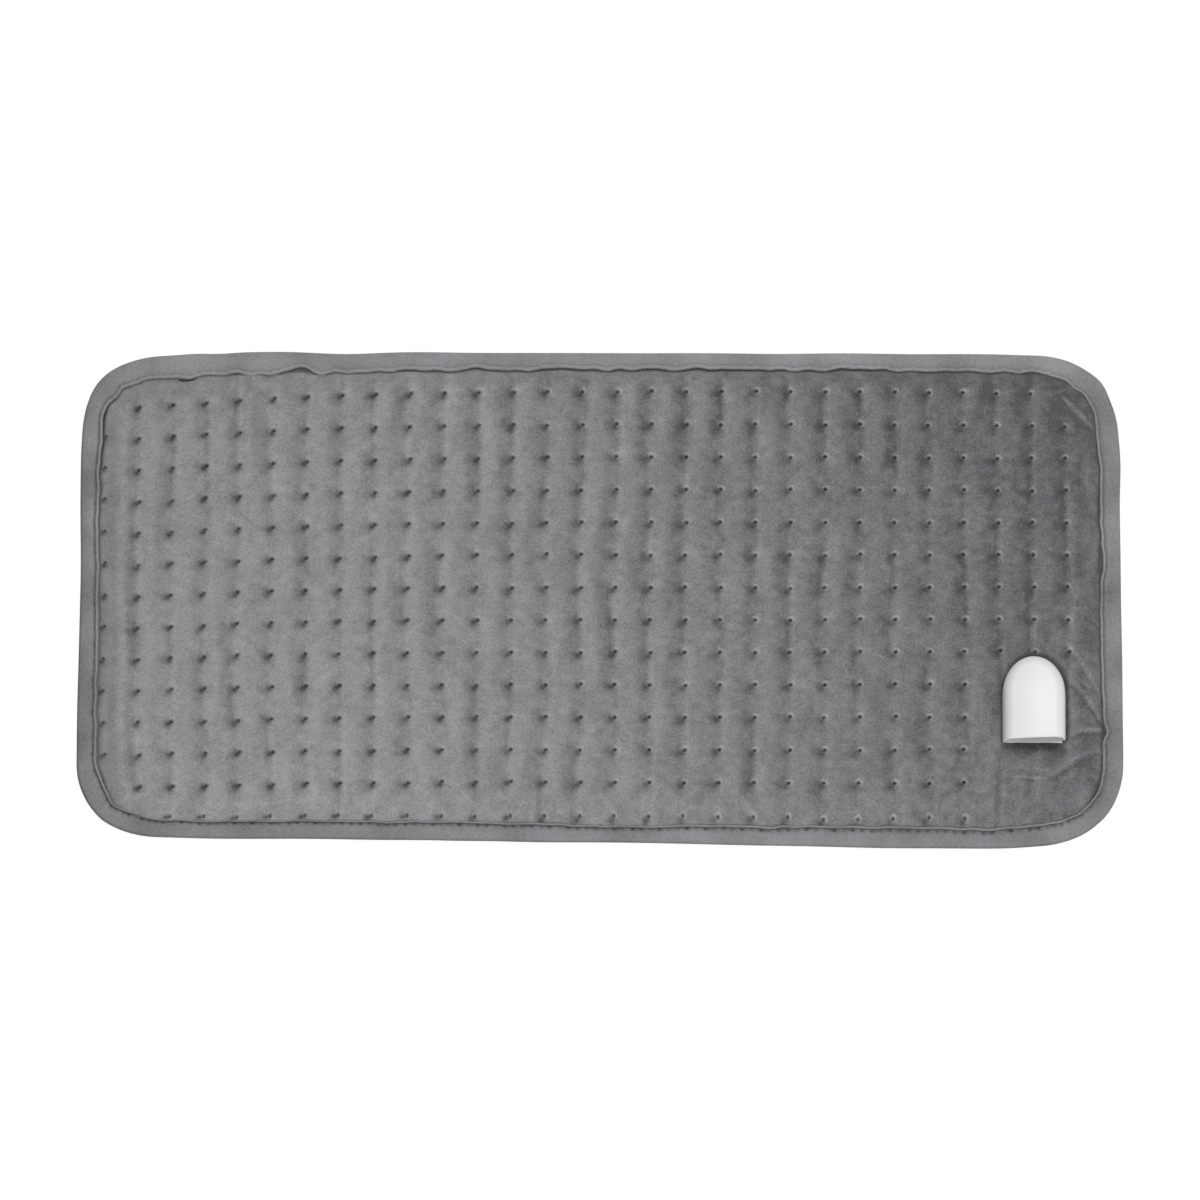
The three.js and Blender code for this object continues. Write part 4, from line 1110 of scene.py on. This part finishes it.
class PAD_OT_socket(bpy.types.Operator):
    """Makes the smooth shell of the socket"""

    bl_idname = "pad.socket"
    bl_label = "Socket shell"

    def lean(self, x, z):
        """How far back the mouth is at a place: its foot behind, its roof in front, its left side forward."""
        sizes = bpy.context.scene.socket_sizes
        height = sizes.side_height + sizes.shoulder_rise + sizes.crown_rise
        return sizes.hood * (0.36 - z / height) + sizes.skew * x / SOCKET_HALF

    def rings(self, skin):
        """Level lines of the dome from its crown to its foot, each from mouth to mouth round the nose."""
        sizes = bpy.context.scene.socket_sizes
        straight = shell_high.y - shell_low.y - sizes.nose
        flat_half = SOCKET_HALF - sizes.side_draft - sizes.shoulder_run
        flat_z = sizes.side_height + sizes.shoulder_rise - skin
        levels = [(flat_half * s, flat_z + sizes.crown_rise * (1 - s * s)) for s in np.linspace(0, 0.97, 9)]
        for tilt in np.linspace(np.pi / 2, 0, 15):
            reach = flat_half + (sizes.shoulder_run - skin) * math.cos(tilt)
            levels.append((reach, sizes.side_height + (sizes.shoulder_rise - skin) * math.sin(tilt)))
        for s in (0.35, 0.7, 1.0):
            levels.append((SOCKET_HALF - skin - sizes.side_draft * (1 - s), sizes.side_height * (1 - s)))
        sweep = np.linspace(0, np.pi, 57)
        lines = []
        for reach, z in levels:
            nose = sizes.nose - (SOCKET_HALF - reach)
            starts = [sizes.mouth_fillet + self.lean(x, z) for x in (reach, -reach)]
            right, left = (np.linspace(start, straight, 9)[:-1] for start in starts)
            x = np.concatenate([np.full(8, reach), reach * np.cos(sweep), np.full(8, -reach)])
            y = np.concatenate([right, straight + nose * np.sin(sweep), left[::-1]])
            lines.append(np.stack([x, y, np.full_like(x, z)], -1))
        return np.array(lines)

    def boss(self, u, v):
        """A screw boss from the base's floor into the roof, with its pilot hole."""
        sizes = bpy.context.scene.socket_sizes
        turn = np.linspace(0, 2 * np.pi, 24, endpoint=False)
        roof = sizes.side_height + sizes.shoulder_rise - sizes.wall / 2
        section = [(2.7 * MM, roof), (2.7 * MM, 1.9 * MM), (1.45 * MM, 1.9 * MM), (1.45 * MM, 8.9 * MM)]
        x, y = np.cos(turn), np.sin(turn)
        rings = [np.stack([u + r * x, v + r * y, np.full_like(x, z)], -1) for r, z in section]
        index = np.arange(len(rings) * len(turn)).reshape(len(rings), -1)
        faces = [index[0], index[-1]]
        for first, second in zip(index, index[1:]):
            faces += loop_faces(first, second)
        return np.concatenate(rings), faces

    def execute(self, context):
        sizes = context.scene.socket_sizes
        outside, inside = self.rings(0.0), self.rings(sizes.wall)
        quads, index = grid_faces(*outside.shape[:2])
        points = [outside.reshape(-1, 3), inside.reshape(-1, 3)]
        faces = quads[:, [0, 3, 2, 1]].tolist()
        faces += (quads[:, [1, 2, 3, 0]] + index.size).tolist()
        faces += strip_faces(index[-1], index[-1] + index.size)
        # The mouth's rim, rounded from the outside to the inside: share of the wall and share of the fillet
        outer_arch, inner_arch = (np.concatenate([dome[::-1, 0], dome[1:, -1]]) for dome in (outside, inside))
        loops = [np.concatenate([index[::-1, 0], index[1:, -1]])]
        start = 2 * index.size
        for share, back in ((0.074, 0.5), (0.28, 0.134), (0.555, 0.0), (0.85, 0.0), (0.96, 0.2)):
            arch = outer_arch + (inner_arch - outer_arch) * share
            arch[:, 1] = sizes.mouth_fillet * back + self.lean(arch[:, 0], arch[:, 2])
            points.append(arch)
            loops.append(start + np.arange(len(arch)))
            start += len(arch)
        loops.append(loops[0] + index.size)
        for first, second in zip(loops, loops[1:]):
            faces += strip_faces(first, second)
        faces += [[loop[0] for loop in loops], [loop[-1] for loop in loops][::-1]]
        for u, v in BOSSES:
            post, post_faces = self.boss(u * MM, v * MM)
            faces += [np.asarray(face) + start for face in post_faces]
            points.append(post)
            start += len(post)
        points = np.concatenate(points) + np.array([SOCKET_X, shell_low.y, shell_low.z])
        material = moulded("satin_white_abs", context.scene.pad_colours.abs_white, 0.43, 0.5 * MM, 0.2)
        piece = add_piece("socket_dome", points, faces, material)
        face_out(piece)
        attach(piece, "root")
        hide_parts("socket_shell")
        return {"FINISHED"}


class PAD_OT_fittings(bpy.types.Operator):
    """Gives the socket's other parts, the wire and the leads their materials"""

    bl_idname = "pad.fittings"
    bl_label = "Fittings"

    def execute(self, context):
        colours = context.scene.pad_colours
        made = {
            "abs_white": moulded("natural_white_abs", colours.abs_inner, 0.5, 0.5 * MM, 0.25),
            "silicone_white": moulded("silicone_rubber", colours.silicone, 0.55, 0.8 * MM, 0.2),
            "pbt_black": moulded("glass_filled_pbt", colours.pbt_black, 0.5, 0.4 * MM, 0.4),
            "shrink_black": moulded("shrink_sleeve", colours.sleeve, 0.45, 0.6 * MM, 0.3),
            "brass": machined("turned_brass", colours.brass, 0.28),
            "zinc_steel": machined("zinc_plated_steel", colours.zinc, 0.36),
        }
        for part in frame["record"]["subparts"]:
            if part["material_slot"] in made:
                materials = frame["nodes"][part["node"]].data.materials
                materials.clear()
                materials.append(made[part["material_slot"]])
        return {"FINISHED"}


# Stage


class PAD_OT_stage(bpy.types.Operator):
    """Sets up the floor, the light and the camera"""

    bl_idname = "pad.stage"
    bl_label = "Stage"

    def white_seen(self, tree, shader, output, share):
        """Mixes white into what the camera, mirrors and glass see of a surface, and leaves its light alone."""
        path = add_node(tree, "ShaderNodeLightPath").outputs
        seen = calc(tree, "MAXIMUM", path["Is Camera Ray"], path["Is Glossy Ray"])
        seen = calc(tree, "MAXIMUM", seen, path["Is Transmission Ray"])
        part = calc(tree, "MULTIPLY", seen, share)
        kind = "ShaderNodeBackground" if output == "ShaderNodeOutputWorld" else "ShaderNodeEmission"
        # Bright enough that the floor shows white at its share of the mix
        white = add_node(tree, kind, {"Color": (1, 1, 1, 1), "Strength": 1.14})
        mixed = add_node(tree, "ShaderNodeMixShader", {0: part, 1: shader.outputs[0], 2: white.outputs[0]})
        add_node(tree, output, {"Surface": mixed.outputs[0]})

    def softbox(self, name, place, aim, size, power):
        lamp = bpy.data.lights.new(name, "AREA")
        lamp.shape, lamp.size, lamp.energy = "SQUARE", size, power
        box = bpy.data.objects.new(name, lamp)
        box.location = place
        box.rotation_euler = (Vector(aim) - Vector(place)).to_track_quat("-Z", "Y").to_euler()
        bpy.context.collection.objects.link(box)

    def execute(self, context):
        scene = context.scene
        scene.view_settings.view_transform = "Standard"
        paper = bpy.data.materials.new("white_paper")
        paper.use_nodes = True
        paper.node_tree.nodes.clear()
        matt = add_node(paper.node_tree, "ShaderNodeBsdfDiffuse", {"Color": (*linear("#9c9c9c"), 1)})
        self.white_seen(paper.node_tree, matt, "ShaderNodeOutputMaterial", 0.85)
        reach, drop = 12.0, 0.2 * MM
        corners = [(x * reach, y * reach, -drop) for x, y in ((-1, -1), (1, -1), (1, 1), (-1, 1))]
        floor = add_piece("floor", corners, [(0, 1, 2, 3)], paper, smooth=False)

        scene.world = scene.world or bpy.data.worlds.new("studio")
        scene.world.use_nodes = True
        tree = scene.world.node_tree
        tree.nodes.clear()
        room = add_node(tree, "ShaderNodeBackground", {"Color": (1, 1, 1, 1), "Strength": 0.33})
        self.white_seen(tree, room, "ShaderNodeOutputWorld", 1.0)
        self.softbox("key", (0.65, 0.9, 2.6), (0, 0, 0), 1.5, 48.5)
        self.softbox("front_fill", (0.9, -2.2, 0.52), (0.2, 0, 0), 1.0, 28)

        lens = bpy.data.cameras.new("camera")
        camera = bpy.data.objects.new("camera", lens)
        tilt, distance, frame_width = math.radians(69.5), 25.0, 0.7015
        lens.sensor_width = 36
        lens.lens = lens.sensor_width * distance / frame_width
        lens.clip_end = 100
        aim = Vector((LAID_X * MM, LAID_Y * MM, 0))
        camera.location = aim + distance * Vector((0, -math.cos(tilt), math.sin(tilt)))
        camera.rotation_euler = (math.pi / 2 - tilt, 0, 0)
        context.collection.objects.link(camera)
        scene.camera = camera
        return {"FINISHED"}


class PAD_PT_panel(bpy.types.Panel):
    """Lists the steps that dress the pad"""

    bl_idname = "PAD_PT_panel"
    bl_label = "Heating Pad"
    bl_space_type = "VIEW_3D"
    bl_region_type = "UI"
    bl_category = "Heating Pad"

    def draw(self, context):
        for step in STEPS:
            self.layout.operator(step.bl_idname)
        for group in GROUPS:
            self.layout.label(text=group)
            for name in GROUPS[group].__annotations__:
                self.layout.prop(getattr(context.scene, group), name)


STEPS = [
    PAD_OT_plush_covers,
    PAD_OT_felt_layers,
    PAD_OT_edge_binding,
    PAD_OT_stitching,
    PAD_OT_socket,
    PAD_OT_fittings,
    PAD_OT_stage,
]
GROUPS = {
    "pad_sizes": PadSizes,
    "edge_sizes": EdgeSizes,
    "socket_sizes": SocketSizes,
    "pad_colours": PadColours,
}


def register():
    for kind in [*GROUPS.values(), *STEPS, PAD_PT_panel]:
        bpy.utils.register_class(kind)
    for name, kind in GROUPS.items():
        setattr(bpy.types.Scene, name, PointerProperty(type=kind))


def unregister():
    for name in GROUPS:
        delattr(bpy.types.Scene, name)
    for kind in [PAD_PT_panel, *reversed(STEPS), *GROUPS.values()]:
        bpy.utils.unregister_class(kind)


def main():
    register()
    for step in STEPS:
        group, name = step.bl_idname.split(".")
        getattr(getattr(bpy.ops, group), name)()


if __name__ == "__main__":
    main()
